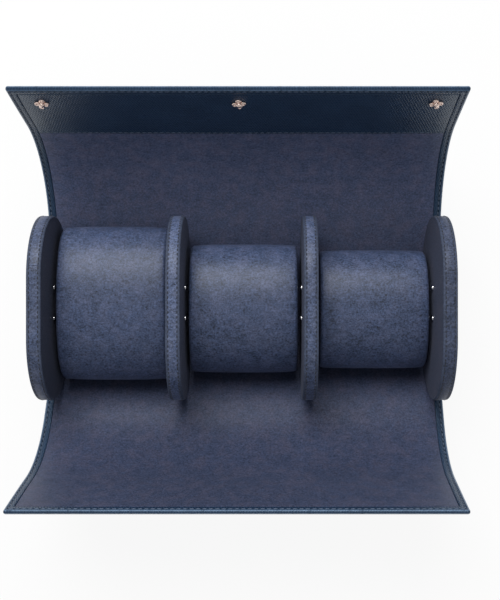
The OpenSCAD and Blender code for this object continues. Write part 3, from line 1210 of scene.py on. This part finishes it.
        bm.normal_update()
        lid = [face for face in bm.faces if face.normal.z > 0.9 and over_pocket(face)]
        draw_out(bm, lid, (0, 0, self.floor - self.half_t))
        bmesh.ops.delete(bm, geom=lid, context="FACES_ONLY")
        mouth = []
        for face in bm.faces:
            is_cut = any(all(near(vert.co.y, s) for vert in face.verts) for s in cut_ends)
            if is_cut and face.calc_center_median().z > self.floor and over_pocket(face):
                mouth.append(face)
        bmesh.ops.delete(bm, geom=mouth, context="FACES")
        bmesh.ops.remove_doubles(bm, verts=bm.verts, dist=SAME)
        bm.normal_update()

    def turn_edges(self, bm: Mesh, cut_ends: list[float], free_end: float | None) -> None:
        """Rounds the outer edges as turned leather is, and the lips of the pocket.

        Args:
            bm: The leather, still flat.
            cut_ends: The ends at which the next piece of leather joins.
            free_end: The end that is turned over, if it has one.
        """

        def block_faces(vert: bmesh.types.BMVert) -> set[str]:
            """Which outer faces of the block a corner lies on.

            Args:
                vert: The corner.

            Returns:
                Their names.
            """
            found = set()
            if near(abs(vert.co.x), self.width / 2):
                found.add("left" if vert.co.x < 0 else "right")
            if near(abs(vert.co.z), self.half_t):
                found.add("outer" if vert.co.z < 0 else "inner")
            if free_end is not None and near(vert.co.y, free_end):
                found.add("end")
            return found

        turned, lips = [], []
        for edge in sharp_edges(bm):
            a, b = edge.verts
            if any(near(a.co.y, s) and near(b.co.y, s) for s in cut_ends):
                continue
            if len(block_faces(a) & block_faces(b)) > 1:
                turned.append(edge)
            elif near(a.co.z, self.half_t) and near(b.co.z, self.half_t):
                lips.append(edge)
        roll_edges(bm, turned, self.edge_r, self.edge_facets)
        roll_edges(bm, [edge for edge in lips if edge.is_valid], self.lip_r, self.lip_facets)

    def pull_over(self, bm: Mesh, free_end: float) -> None:
        """Slants a turned end: over the inner edge of the back flap and the outer edge of the front one.

        Args:
            bm: The leather, still flat.
            free_end: The end.
        """
        side = math.copysign(1, free_end)
        for vert in bm.verts:
            gap, depth = abs(free_end - vert.co.y), side * vert.co.z / self.half_t
            if gap < self.pull_reach and depth > 0:
                vert.co.y -= side * self.pulled * depth * (1 - gap / self.pull_reach)

    def crease(self, bm: Mesh, free_end: float | None) -> None:
        """Presses the crease that the stitches lie in, along the sides and the free end.

        Args:
            bm: The leather, still flat.
            free_end: The end that is turned over, if it has one.
        """
        side = self.seam_x
        offsets = (-self.crease_w, 0.0, self.crease_w)
        slice_at(bm, X, [sign * side + offset for sign in (-1, 1) for offset in offsets])
        stop = math.inf
        if free_end is not None:
            stop = abs(free_end) - self.seam_in
            slice_at(bm, S, [math.copysign(stop + offset, free_end) for offset in offsets])
        for vert in bm.verts:
            on_side = near(abs(vert.co.x), side) and abs(vert.co.y) < stop + self.crease_w / 2
            on_end = near(abs(vert.co.y), stop) and abs(vert.co.x) < side + self.crease_w / 2
            if (on_side or on_end) and near(abs(vert.co.z), self.half_t):
                vert.co.z -= math.copysign(self.crease_d, vert.co.z)

    def inlay(
        self, name: str, limits: Pair, heights: Pair, rolled: Iterable[float], material: Material
    ) -> Piece:
        """A layer laid between the borders: lining or facing.

        Args:
            name: Name of the piece.
            limits: Its two ends along the wrap.
            heights: Its lower and upper face.
            rolled: Ends whose upper edge is rounded too.
            material: Its finish.

        Returns:
            The piece.
        """
        bm = slab((-self.inside, self.inside), limits, heights)
        bm.normal_update()
        edges = []
        for edge in sharp_edges(bm):
            a, b = edge.verts
            on_top = near(a.co.z, heights[1]) and near(b.co.z, heights[1])
            on_end = any(near(a.co.y, s) and near(b.co.y, s) for s in rolled)
            if on_top and (near(a.co.x, b.co.x) or on_end):
                edges.append(edge)
        roll_edges(bm, edges, self.lip_r, self.lip_facets)
        self.facet_flat(bm, limits)
        self.lay(bm)
        return finished(bm, name, material)

    def stitch_row(self, across: bool, at: float, low: float, high: float) -> list[tuple[float, float, bool]]:
        """Places of the stitches of one row.

        Args:
            across: True where the row runs across the roll.
            at: The row's place in the other direction.
            low: Where the row begins.
            high: Where it ends.

        Returns:
            For each stitch its place across and along, and whether it runs across.
        """
        count = round((high - low) / self.stitch_pitch)
        places = [low + (high - low) * (i + 0.5) / count for i in range(count)]
        return [(p, at, True) if across else (at, p, False) for p in places]

    def stitches(self) -> list[tuple[float, float, bool, float]]:
        """Finds every stitch of the wrap.

        Returns:
            For each stitch its place across and along, whether it runs across, and its height.
        """
        side, inside = self.seam_x, self.inside - self.facing_stitch_end
        back, front = self.back.reach() - self.seam_in, self.seam_in - self.front.reach()
        rows = self.stitch_row(True, back, -side, side) + self.stitch_row(True, front, -side, side)
        for x in (-side, side):
            rows += self.stitch_row(False, x, front, back)
        level = self.half_t - self.crease_d / 4
        both = [(*stitch, o) for stitch in rows for o in (level, -level)]
        facing = self.stitch_row(True, self.back.facing_start() + self.facing_stitch_in, -inside, inside)
        return both + [(*stitch, self.half_t - self.facing_sink) for stitch in facing]

    def sew(self, name: str, limits: Pair) -> Piece:
        """The stitches of one stretch of the wrap.

        Args:
            name: Name of the piece.
            limits: The ends of the stretch.

        Returns:
            The piece.
        """
        places = []
        for x, s, across, o in self.stitches():
            if limits[0] <= s < limits[1]:
                turn = Matrix.Rotation((0.0 if across else math.pi / 2) + self.stitch_turn, 4, "Z")
                places.append(Matrix.Translation((x, s, o)) @ turn)
        bm = sewn(places, (self.stitch_long, self.stitch_wide, self.stitch_wide))
        self.lay(bm)
        return finished(bm, name, self.finishes.thread)

    def line(self, stretch: str, limits: Pair, low: float, rolled: Iterable[float]) -> Piece:
        """A piece of the suede lining.

        Args:
            stretch: Name of the stretch of the wrap that it lines.
            limits: Its two ends along the wrap.
            low: Its lower face.
            rolled: Ends whose upper edge is rounded too.

        Returns:
            The piece.
        """
        heights = (low, self.half_t - self.lining_sink)
        lining = self.inlay(f"{stretch}_suede", limits, heights, rolled, self.finishes.lining)
        return lining

    def dress_base(self) -> None:
        """Leather, lining and stitches of the base."""
        limits = self.base_limits()
        skin = self.leather("base_leather_skin", limits, None)
        lining = self.line("base", limits, self.floor + self.board_t, ())
        for piece in (skin, lining, self.sew("base_stitches", limits)):
            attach(piece, "root")
        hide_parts("base_leather")
        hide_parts("base_lining")

    def dress_span(self, span: Span) -> None:
        """Leather, lining or facing, and stitches of one span of a flap.

        Args:
            span: The span.
        """
        curl, limits = span.curl, span.limits()
        free_end = curl.side * span.end if span.is_end else None
        pieces = [self.leather(f"{span.name}_leather_skin", limits, free_end)]
        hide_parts(*[f"{curl.word}_leather_{k}" for k in span.strips])
        has_board = span.strips[-1] == len(curl.strips) or span.strips == (1,)
        low = self.floor + (self.board_t if has_board else 0.0)
        far_end = span.end - (self.border if span.is_end else 0.0)
        edge = curl.facing_start()
        if span.start < edge:
            ends = curl.signed(span.start, min(far_end, edge))
            lining = self.line(span.name, ends, low, (-far_end,) if span.is_end else ())
            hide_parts(*[f"{curl.word}_lining_{k}" for k in span.strips if k <= curl.lined])
            pieces.append(lining)
        if far_end > edge:
            ends, heights = (max(span.start, edge), far_end), (low, self.half_t - self.facing_sink)
            rolled = (far_end,) if span.is_end else (edge,)
            leather = self.finishes.leather
            facing = self.inlay(f"{span.name}_facing", ends, heights, rolled, leather)
            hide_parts(*[f"{curl.word}_facing_{k}" for k in span.strips if k > curl.lined])
            pieces.append(facing)
        pieces.append(self.sew(f"{span.name}_stitches", limits))
        for piece in pieces:
            self.follow(piece, span)

    def dress(self) -> None:
        """Makes every piece of the wrap."""
        self.dress_base()
        for span in self.spans(self.back) + self.spans(self.front):
            self.dress_span(span)


# ---------------------------------------------------------------- press studs


@dataclass
class PressStuds:
    """Lobed studs on the facing and the sockets that they snap into.

    Boss and plate are profiles in shares of a lobe's size and of the plate's. The lip's corners lie out from
    the bore by a distance and up by a share of the flange's thickness. The arcs are angles round the ball, in
    degrees, and round the rim, in radians. Turns say how each stud is turned, and tilt how far they lean.
    """

    wrap: Wrap
    finishes: Finishes
    side_inset: float = 16 * MM
    inset: float = 14 * MM
    socket_inset: float = 10.4 * MM
    turns: tuple[float, ...] = (-0.17, 0.15, 0.22)
    tilt: float = -0.2
    lobe_count: int = 4
    lobe_at: float = 2.35 * MM
    lobe_r: float = 1.6 * MM
    lobe_h: float = 1.6 * MM
    boss: tuple[Pair, ...] = (
        (0, 0), (0.8, 0), (0.93, 0.18), (1, 0.42), (0.97, 0.66), (0.86, 0.86), (0.68, 0.98), (0.5, 0.96),
        (0.34, 0.76), (0.2, 0.5), (0, 0.42),
    )
    plate_r: float = 2.3 * MM
    plate_t: float = 0.6 * MM
    plate: tuple[Pair, ...] = ((0, 0), (1, 0), (1, 0.6), (0.93, 0.9), (0.85, 1), (0, 1))
    collar_out: float = 0.35 * MM
    collar_wire: float = 0.32 * MM
    post_r: float = 1.2 * MM
    ball_r: float = 1.65 * MM
    ball_arc: Iterable[int] = range(-40, 90, 13)
    post_h: float = 3.0 * MM
    neck_share: float = 0.9
    neck_under: float = 0.1 * MM
    flange_r: float = 5 * MM
    flange_t: float = 0.5 * MM
    rim_arc: tuple[float, ...] = (-1.57, -0.8, 0, 0.8, 1.57)
    lip: tuple[Pair, ...] = ((0.9 * MM, 1), (0.75 * MM, 1.5), (0.35 * MM, 1.6), (0, 1.1))
    bore_r: float = 2.2 * MM
    bore_h: float = 2.0 * MM
    cup_wall: float = 0.6 * MM
    cup_floor: float = 0.3 * MM
    spring_in: float = 0.12 * MM
    spring_wire: float = 0.22 * MM
    spring_down: float = 0.5 * MM
    crease: float = 0.9

    def places(self) -> list[float]:
        """Where the studs stand across the roll."""
        side = self.wrap.width / 2 - self.side_inset
        return [-side, 0.0, side]

    def stud(self, bm: Mesh, place: Matrix) -> None:
        """A dimpled boss in each lobe, a rounded plate, a collar, and a post with a ball at its tip.

        Args:
            bm: The mesh that the stud joins.
            place: Its seat.
        """
        boss = [(self.lobe_r * r, self.lobe_h * h) for r, h in self.boss]
        for i in range(self.lobe_count):
            turn = Matrix.Rotation(math.tau / self.lobe_count * i, 4, "Z")
            seat = place @ turn @ Matrix.Translation((self.lobe_at, 0, 0))
            spun(bm, boss, steps=24, place=seat)
        plate = [(self.plate_r * r, self.plate_t * h) for r, h in self.plate]
        spun(bm, plate, steps=32, place=place)
        collar = place @ Matrix.Translation((0, 0, self.plate_t))
        ring(bm, self.post_r + self.collar_out, self.collar_wire, collar, steps=28)
        middle = self.post_h - self.ball_r
        arc = [math.radians(a) for a in self.ball_arc]
        ball = [(self.ball_r * math.cos(a), middle + self.ball_r * math.sin(a)) for a in arc]
        neck = self.post_r * self.neck_share
        foot = [(neck, self.plate_t / 2), (neck, ball[0][1] - self.neck_under)]
        spun(bm, [*foot, *ball, (0, self.post_h)], steps=28, place=place)

    def socket(self, bm: Mesh, place: Matrix) -> None:
        """A flange with a rolled rim round the bore, the cup under it, and the spring ring in it.

        Args:
            bm: The mesh that the socket joins.
            place: Its seat.
        """
        half, bore, foot = self.flange_t / 2, self.bore_r, -self.bore_h - self.cup_floor
        wall = bore + self.cup_wall
        edge = self.flange_r - half
        rim = [(edge + half * math.cos(a), half * (1 + math.sin(a))) for a in self.rim_arc]
        lip = [(bore + out, self.flange_t * up) for out, up in self.lip]
        cup = [(bore, -self.bore_h), (0, -self.bore_h)]
        spun(bm, [(0, foot), (wall, foot), (wall, 0), *rim, *lip, *cup], steps=40, place=place)
        spring = place @ Matrix.Translation((0, 0, -self.spring_down))
        ring(bm, bore - self.spring_in, self.spring_wire, spring, steps=32)

    def dress(self) -> None:
        """Makes the studs and the sockets."""
        studs, sockets = bmesh.new(), bmesh.new()
        wrap = self.wrap
        for x, turn in zip(self.places(), self.turns):
            seat = wrap.stand(x, wrap.back.length - self.inset, wrap.half_t - wrap.facing_sink)
            self.stud(studs, seat @ Matrix.Rotation(self.tilt, 4, "X") @ Matrix.Rotation(turn, 4, "Z"))
            self.socket(sockets, wrap.stand(x, self.socket_inset - wrap.front.length, -wrap.half_t, True))
        gold = self.finishes.rose_gold
        made = finished(studs, "press_studs", gold, self.crease)
        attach(made, "back_strip_6")
        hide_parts("snap_studs")
        made = finished(sockets, "press_stud_sockets", gold, self.crease)
        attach(made, "front_strip_6")
        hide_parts("snap_sockets")


# ---------------------------------------------------------------- dividers


@dataclass
class Divider:
    """A stadium-shaped divider: a panel of suede wrapped over each face and a band sewn round the rim.

    The padding lists how far in from the last one each ring of a face lies, and how far it rises. Close is
    how far inside an outline a point still counts as on it.
    """

    number: int
    finishes: Finishes
    radius: float = 37.5 * MM
    flat: float = 34 * MM
    facets: int = 144
    middle_z: float = 40.3 * MM
    band_in: float = 1.2 * MM
    band_t: float = 0.9 * MM
    band_sink: float = 0.08 * MM
    band_edge_r: float = 0.35 * MM
    panel_edge_r: float = 0.75 * MM
    panel_depth: float = 1.3 * MM
    panel_t: float = 0.9 * MM
    padding: tuple[Pair, ...] = (
        (0.3 * MM, -0.15 * MM), (0.5 * MM, 0.05 * MM), (1.2 * MM, 0.12 * MM), (4 * MM, 0.08 * MM),
        (9 * MM, 0.04 * MM),
    )
    stitch_in: float = 0.4 * MM
    stitch_pitch: float = 2.7 * MM
    stitch_long: float = 1.9 * MM
    stitch_wide: float = 0.65 * MM
    stitch_tall: float = 0.45 * MM
    seam_y: float = 24.1 * MM
    seam_w: float = 0.28 * MM
    seam_up: float = 0.22 * MM
    seam_deep: float = 0.5 * MM
    close: float = 0.05 * MM

    def __post_init__(self) -> None:
        """Reads where the divider stands."""
        low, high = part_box(f"divider_{self.number}_rim")
        self.x0, self.x1 = low[0], high[0]

    def stadium(self, radius: float) -> Mesh:
        """A flat face with the divider's outline, in a plane whose first axis is Y and second is Z.

        Args:
            radius: Radius of its round ends.

        Returns:
            The face as a new bmesh.
        """
        bm = bmesh.new()
        turn = Matrix.Rotation(math.pi / self.facets, 4, "Z")
        bmesh.ops.create_circle(bm, cap_ends=True, segments=self.facets, radius=radius, matrix=turn)
        for side in (-1, 1):
            half = [vert for vert in bm.verts if vert.co.x * side > 0]
            bmesh.ops.translate(bm, vec=(side * self.flat / 2, 0, 0), verts=half)
        return bm

    def stand_up(self, bm: Mesh, x: float) -> None:
        """Stands a flat outline across the roll, with its own third axis along X."""
        turn = Matrix(((0, 0, 1), (1, 0, 0), (0, 1, 0))).to_4x4()
        bmesh.ops.transform(bm, matrix=Matrix.Translation((x, 0, self.middle_z)) @ turn, verts=bm.verts)

    def is_outside(self, point: Vector, radius: float) -> bool:
        """True for a point of a flat outline at or beyond a radius, or close inside it."""
        along = max(0.0, abs(point.x) - self.flat / 2)
        return math.hypot(along, point.y) > radius - self.close

    def band(self) -> Piece:
        """The band round the rim, with its raised seam: on top of the first divider, below on the others.

        Returns:
            The piece.
        """
        bm = self.stadium(self.radius)
        face = bm.faces[:]
        bmesh.ops.inset_region(bm, faces=face, thickness=self.band_t, use_boundary=True, use_even_offset=True)
        bmesh.ops.delete(bm, geom=face, context="FACES_ONLY")
        draw_out(bm, bm.faces[:], (0, 0, self.x1 - self.x0 - 2 * self.band_in))
        bmesh.ops.recalc_face_normals(bm, faces=bm.faces)
        outer = [e for e in sharp_edges(bm) if all(self.is_outside(v.co, self.radius) for v in e.verts)]
        roll_edges(bm, outer, self.band_edge_r, segments=3)
        slice_at(bm, X, (self.seam_y - self.seam_w, self.seam_y, self.seam_y + self.seam_w))
        side = 1 if self.number == 1 else -1
        for vert in bm.verts:
            on_side = vert.co.y * side > 0 and self.is_outside(vert.co, self.radius - self.seam_deep)
            if on_side and near(vert.co.x, self.seam_y):
                vert.co.y += self.seam_up * side
        self.stand_up(bm, self.x0 + self.band_in)
        return finished(bm, f"divider_{self.number}_band", self.finishes.bands[self.number - 1])

    def panel(self) -> Mesh:
        """The suede on the right face, wrapped over the edge of the rim and slightly padded.

        Returns:
            The panel as a new bmesh, in place.
        """
        bm = self.stadium(self.radius - self.band_sink)
        draw_out(bm, bm.faces[:], (0, 0, -self.panel_depth))
        bmesh.ops.recalc_face_normals(bm, faces=bm.faces)
        front = [e for e in sharp_edges(bm) if all(near(v.co.z, 0) for v in e.verts)]
        roll_edges(bm, front, self.panel_edge_r, segments=5)
        bm.normal_update()
        face = [max(bm.faces, key=lambda f: f.normal.z * f.calc_area())]
        for inset, rise in self.padding:
            bmesh.ops.inset_region(bm, faces=face, thickness=inset, depth=rise, use_even_offset=True)
        bm.normal_update()
        inner = [min(bm.faces, key=lambda f: f.normal.z * f.calc_area())]
        bmesh.ops.inset_region(bm, faces=inner, thickness=self.band_t, use_even_offset=True)
        hollow = self.panel_depth - self.panel_t
        bmesh.ops.translate(bm, vec=(0, 0, hollow), verts=list(inner[0].verts))
        self.stand_up(bm, self.x1)
        return bm

    def panels(self) -> Piece:
        """The suede on both faces, the left one mirrored from the right one.

        Returns:
            The piece.
        """
        bm, left = self.panel(), self.panel()
        mirror = Matrix.Translation((self.x0 + self.x1, 0, 0)) @ Matrix.Diagonal((-1, 1, 1, 1))
        bmesh.ops.reverse_faces(left, faces=left.faces)
        join(bm, left, mirror)
        return finished(bm, f"divider_{self.number}_panels", self.finishes.faces[self.number - 1])

    def rim_spot(self, t: float) -> tuple[float, float, float]:
        """Where the rim runs.

        Args:
            t: Distance round it.

        Returns:
            Y, Z from the middle, and slope.
        """
        half = self.flat + math.pi * self.radius
        if t >= half:
            y, z, slope = self.rim_spot(t - half)
            return -y, -z, slope + math.pi
        if t < self.flat:
            return t - self.flat / 2, -self.radius, 0.0
        angle = (t - self.flat) / self.radius
        return self.flat / 2 + self.radius * math.sin(angle), -self.radius * math.cos(angle), angle

    def sew(self) -> Piece:
        """Two rows of stitches round the band, near its edges.

        Returns:
            The piece.
        """
        long = 2 * (self.flat + math.pi * self.radius)
        count = round(long / self.stitch_pitch)
        inset = self.band_in + self.stitch_in
        places = []
        for x in (self.x0 + inset, self.x1 - inset):
            for i in range(count):
                y, z, slope = self.rim_spot(long * i / count)
                turn = Matrix.Rotation(slope, 4, "X") @ Matrix.Rotation(math.pi / 2, 4, "Z")
                places.append(Matrix.Translation((x, y, self.middle_z + z)) @ turn)
        bm = sewn(places, (self.stitch_long, self.stitch_wide, self.stitch_tall))
        return finished(bm, f"divider_{self.number}_stitches", self.finishes.dark_thread)

    def dress(self) -> None:
        """Makes the pieces of the divider."""
        band, panels, seam = self.band(), self.panels(), self.sew()
        for piece in (band, panels, seam):
            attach(piece, "root")
        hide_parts(f"divider_{self.number}_rim")
        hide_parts(f"divider_{self.number}_faces")


@dataclass
class Keepers:
    """The small domed studs, a pair on each divider face that looks into a bay.

    The edge is a profile in shares of the head's radius and of the edge's height, and the dome stands on it.
    """

    finishes: Finishes
    dividers: int
    head_r: float = 1.6 * MM
    head_h: float = 1.35 * MM
    edge_h: float = 0.4 * MM
    edge: tuple[Pair, ...] = ((0.5, 0), (0.9, 0), (1, 0.3), (1, 0.85))
    dome_share: float = 0.98
    dome_arc: tuple[float, ...] = (0.2, 0.5, 0.8, 1.1, 1.35)
    shank_h: float = 0.6 * MM
    up: float = 44.8 * MM
    behind: float = 3 * MM
    pitch: float = 18 * MM
    crease: float = 0.9

    def profile(self) -> list[Pair]:
        """Outline of a stud: a short shank, a thin edge and a dome.

        Returns:
            Radius and height of each corner.
        """
        shank = [(0, -self.shank_h), (self.head_r / 2, -self.shank_h)]
        edge = [(self.head_r * r, self.edge_h * h) for r, h in self.edge]
        dome_r, dome_h = self.head_r * self.dome_share, self.head_h - self.edge_h
        dome = [(dome_r * math.cos(a), self.edge_h + dome_h * math.sin(a)) for a in self.dome_arc]
        return [*shank, *edge, *dome, (0, self.head_h)]

    def dress(self) -> None:
        """Makes all the studs as one piece."""
        bm = bmesh.new()
        for number in range(1, self.dividers + 1):
            low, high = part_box(f"divider_{number}_rim")
            for x, side, outermost in ((low[0], -1, 1), (high[0], 1, self.dividers)):
                if number == outermost:
                    continue
                for y in (-1, 1):
                    place = Matrix.Translation((x, self.behind + y * self.pitch / 2, self.up))
                    turn = Matrix.Rotation(side * math.pi / 2, 4, "Y")
                    spun(bm, self.profile(), steps=20, place=place @ turn)
        piece = finished(bm, "keeper_stud_heads", self.finishes.steel, self.crease)
        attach(piece, "root")
        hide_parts("keeper_studs")


# ---------------------------------------------------------------- cushions


@dataclass
class Cushion:
    """A foam cushion in a suede cover, crowned in its middle, with soft ends.

    Its section is widest at a share of its height, and a power for each half says how square it is. Each end
    ring lies further in than the last by its distance.
    """

    number: int
    finishes: Finishes
    widest: float = 0.45
    top_power: float = 2.25
    bottom_power: float = 2.5
    facets: int = 96
    end_r: float = 2.3 * MM
    end_angle: float = 1.2
    end_facets: int = 5
    facet: float = 3 * MM
    taper: float = 0.02
    cover_t: float = 1.2 * MM
    end_rings: Pair = (2 * MM, 5 * MM)
    crease: float = 1.4

    def pillow(self, inset: float) -> Mesh:
        """Shape of the cushion: a rounded section drawn out along X, with rounded ends.

        Args:
            inset: How far inside the cover's outer face it lies.

        Returns:
            The shape as a new bmesh.
        """
        low, high = (Vector(corner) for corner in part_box(f"cushion_{self.number}_cover"))
        low += Vector((inset, inset, inset))
        high -= Vector((inset, inset, inset))
        middle = (low + high) / 2
        waist = low.z + (high.z - low.z) * self.widest
        bm = bmesh.new()
        bmesh.ops.create_circle(bm, cap_ends=True, segments=self.facets, radius=1.0)
        for vert in bm.verts:
            c, s = vert.co.x, vert.co.y
            power = self.top_power if s > 0 else self.bottom_power
            tall = high.z - waist if s > 0 else waist - low.z
            y = math.copysign(abs(c) ** (2 / power), c) * (high.y - low.y) / 2
            vert.co = (low.x, middle.y + y, waist + math.copysign(abs(s) ** (2 / power), s) * tall)
        draw_out(bm, bm.faces[:], (high.x - low.x, 0, 0))
        bmesh.ops.recalc_face_normals(bm, faces=bm.faces)
        for face in [face for face in bm.faces if len(face.verts) > 4]:
            for thickness in self.end_rings:
                bmesh.ops.inset_region(bm, faces=[face], thickness=thickness, depth=0.0, use_even_offset=True)
        roll_edges(bm, sharp_edges(bm, self.end_angle), self.end_r - inset / 2, self.end_facets)
        slice_at(bm, X, spread(low.x + self.end_r, high.x - self.end_r, self.facet))
        for vert in bm.verts:
            along = (vert.co.x - middle.x) / (high.x - middle.x)
            drawn_in = 1 - self.taper * along ** 4
            vert.co.y = middle.y + (vert.co.y - middle.y) * drawn_in
            vert.co.z = low.z + (vert.co.z - low.z) * drawn_in
        return bm

    def dress(self) -> None:
        """Makes the cushion's cover and the foam in it."""
        name, finishes = f"cushion_{self.number}", self.finishes
        cover = finished(self.pillow(0.0), f"{name}_suede", finishes.cushion, self.crease)
        core = finished(self.pillow(self.cover_t), f"{name}_filling", finishes.foam, self.crease)
        for piece in (cover, core):
            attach(piece, name)
        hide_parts(f"{name}_cover", f"{name}_ends")
        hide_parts(f"{name}_foam")


# ---------------------------------------------------------------- hidden cores


def dress_cores(finishes: Finishes) -> None:
    """Gives the boards, cores and washers that stay as they are their finishes.

    Args:
        finishes: The roll's finishes.
    """
    for name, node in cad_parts.items():
        if name.endswith("washers"):
            finish = finishes.rose_gold
        elif name.endswith(("board", "core")):
            finish = finishes.board
        else:
            continue
        node.data.materials.clear()
        node.data.materials.append(finish)


# ---------------------------------------------------------------- the studio


@dataclass
class Studio:
    """Camera, floor and lamp.

    Axis is where the camera's own axis meets the picture, in pixels. Floor glow is how much of the floor's
    own white the camera sees, and surround is the strength of the surround for the object and for the camera.
    """

    camera_at: Vector = field(default_factory=lambda: Vector((15, 6, 604.7)) * MM)
    sensor: float = 36.0
    lens: float = 57.0
    picture: tuple[int, int] = (500, 600)
    axis: Pair = (268.95, 297.8)
    floor_half: float = 4.0
    floor_colour: Colour = (0.88, 0.88, 0.88, 1.0)
    floor_glow: float = 0.9
    lamp_at: Vector = field(default_factory=lambda: Vector((-0.22, 0.84, 1.16)))
    lamp_aim: Vector = field(default_factory=lambda: Vector((0, 0, 50)) * MM)
    lamp_size: float = 1.0
    lamp_power: float = 17.5
    surround: Pair = (0.45, 1.0)

    def camera(self) -> None:
        """Looks straight down at the open roll."""
        data = bpy.data.cameras.new("camera")
        data.sensor_fit = "VERTICAL"
        data.sensor_height = self.sensor
        data.lens = self.lens
        wide, high = self.picture
        data.shift_x = (wide / 2 - self.axis[0]) / high
        data.shift_y = (self.axis[1] - high / 2) / high
        data.clip_start, data.clip_end = 0.01, 20.0
        camera = bpy.data.objects.new("camera", data)
        camera.location = self.camera_at
        bpy.context.scene.collection.objects.link(camera)
        bpy.context.scene.camera = camera

    def floor(self) -> None:
        """A wide pale floor that keeps the object's shadow."""
        bm = bmesh.new()
        bmesh.ops.create_grid(bm, x_segments=2, y_segments=2, size=self.floor_half)
        data = bpy.data.meshes.new("floor")
        bm.to_mesh(data)
        bm.free()
        made = Finish("pale_floor", Base_Color=self.floor_colour, Roughness=0.9)
        path = made.add("LightPath").outputs
        seen = made.maths("MAXIMUM", path["Is Camera Ray"], path["Is Glossy Ray"])
        seen = made.maths("MAXIMUM", seen, path["Is Transmission Ray"])
        white = made.add("Emission", {"Color": (1, 1, 1, 1), "Strength": 1.0})
        share = made.maths("MULTIPLY", seen, self.floor_glow)
        mix = made.add("MixShader", {0: share, 1: made.shader.outputs[0], 2: white.outputs[0]})
        made.tree.links.new(mix.outputs[0], made.tree.nodes["Material Output"].inputs["Surface"])
        data.materials.append(made.material)
        floor = bpy.data.objects.new("floor", data)
        bpy.context.scene.collection.objects.link(floor)

    def light(self) -> None:
        """Soft light from above and a little behind, and an even white surround."""
        data = bpy.data.lights.new("key", "AREA")
        data.shape, data.size, data.energy = "DISK", self.lamp_size, self.lamp_power
        lamp = bpy.data.objects.new("key", data)
        lamp.location = self.lamp_at
        lamp.rotation_euler = (self.lamp_aim - self.lamp_at).to_track_quat("-Z", "Y").to_euler()
        bpy.context.scene.collection.objects.link(lamp)
        world = bpy.data.worlds.new("surround")
        world.use_nodes = True
        bpy.context.scene.world = world
        shade = Shade(world.node_tree)
        dim, full = self.surround
        seen = shade.add("LightPath").outputs["Is Camera Ray"]
        background = shade.tree.nodes["Background"].inputs
        background["Color"].default_value = (1, 1, 1, 1)
        shade.tree.links.new(shade.graded(seen, full - dim, dim), background["Strength"])
        bpy.context.scene.view_settings.view_transform = "Standard"

    def set_up(self) -> None:
        """Sets up camera, floor and lamp."""
        self.camera()
        self.floor()
        self.light()


def main() -> None:
    """Builds the scene: studio, finishes, wrap, studs, dividers and cushions."""
    logging.basicConfig(level=logging.INFO, format="%(message)s")
    Studio().set_up()
    finishes = Finishes()
    wrap = Wrap(finishes)
    wrap.dress()
    PressStuds(wrap, finishes).dress()
    dividers = 4
    for number in range(1, dividers + 1):
        Divider(number, finishes).dress()
    Keepers(finishes, dividers).dress()
    for number in range(1, dividers):
        Cushion(number, finishes).dress()
    dress_cores(finishes)


if __name__ == "__main__":
    main()
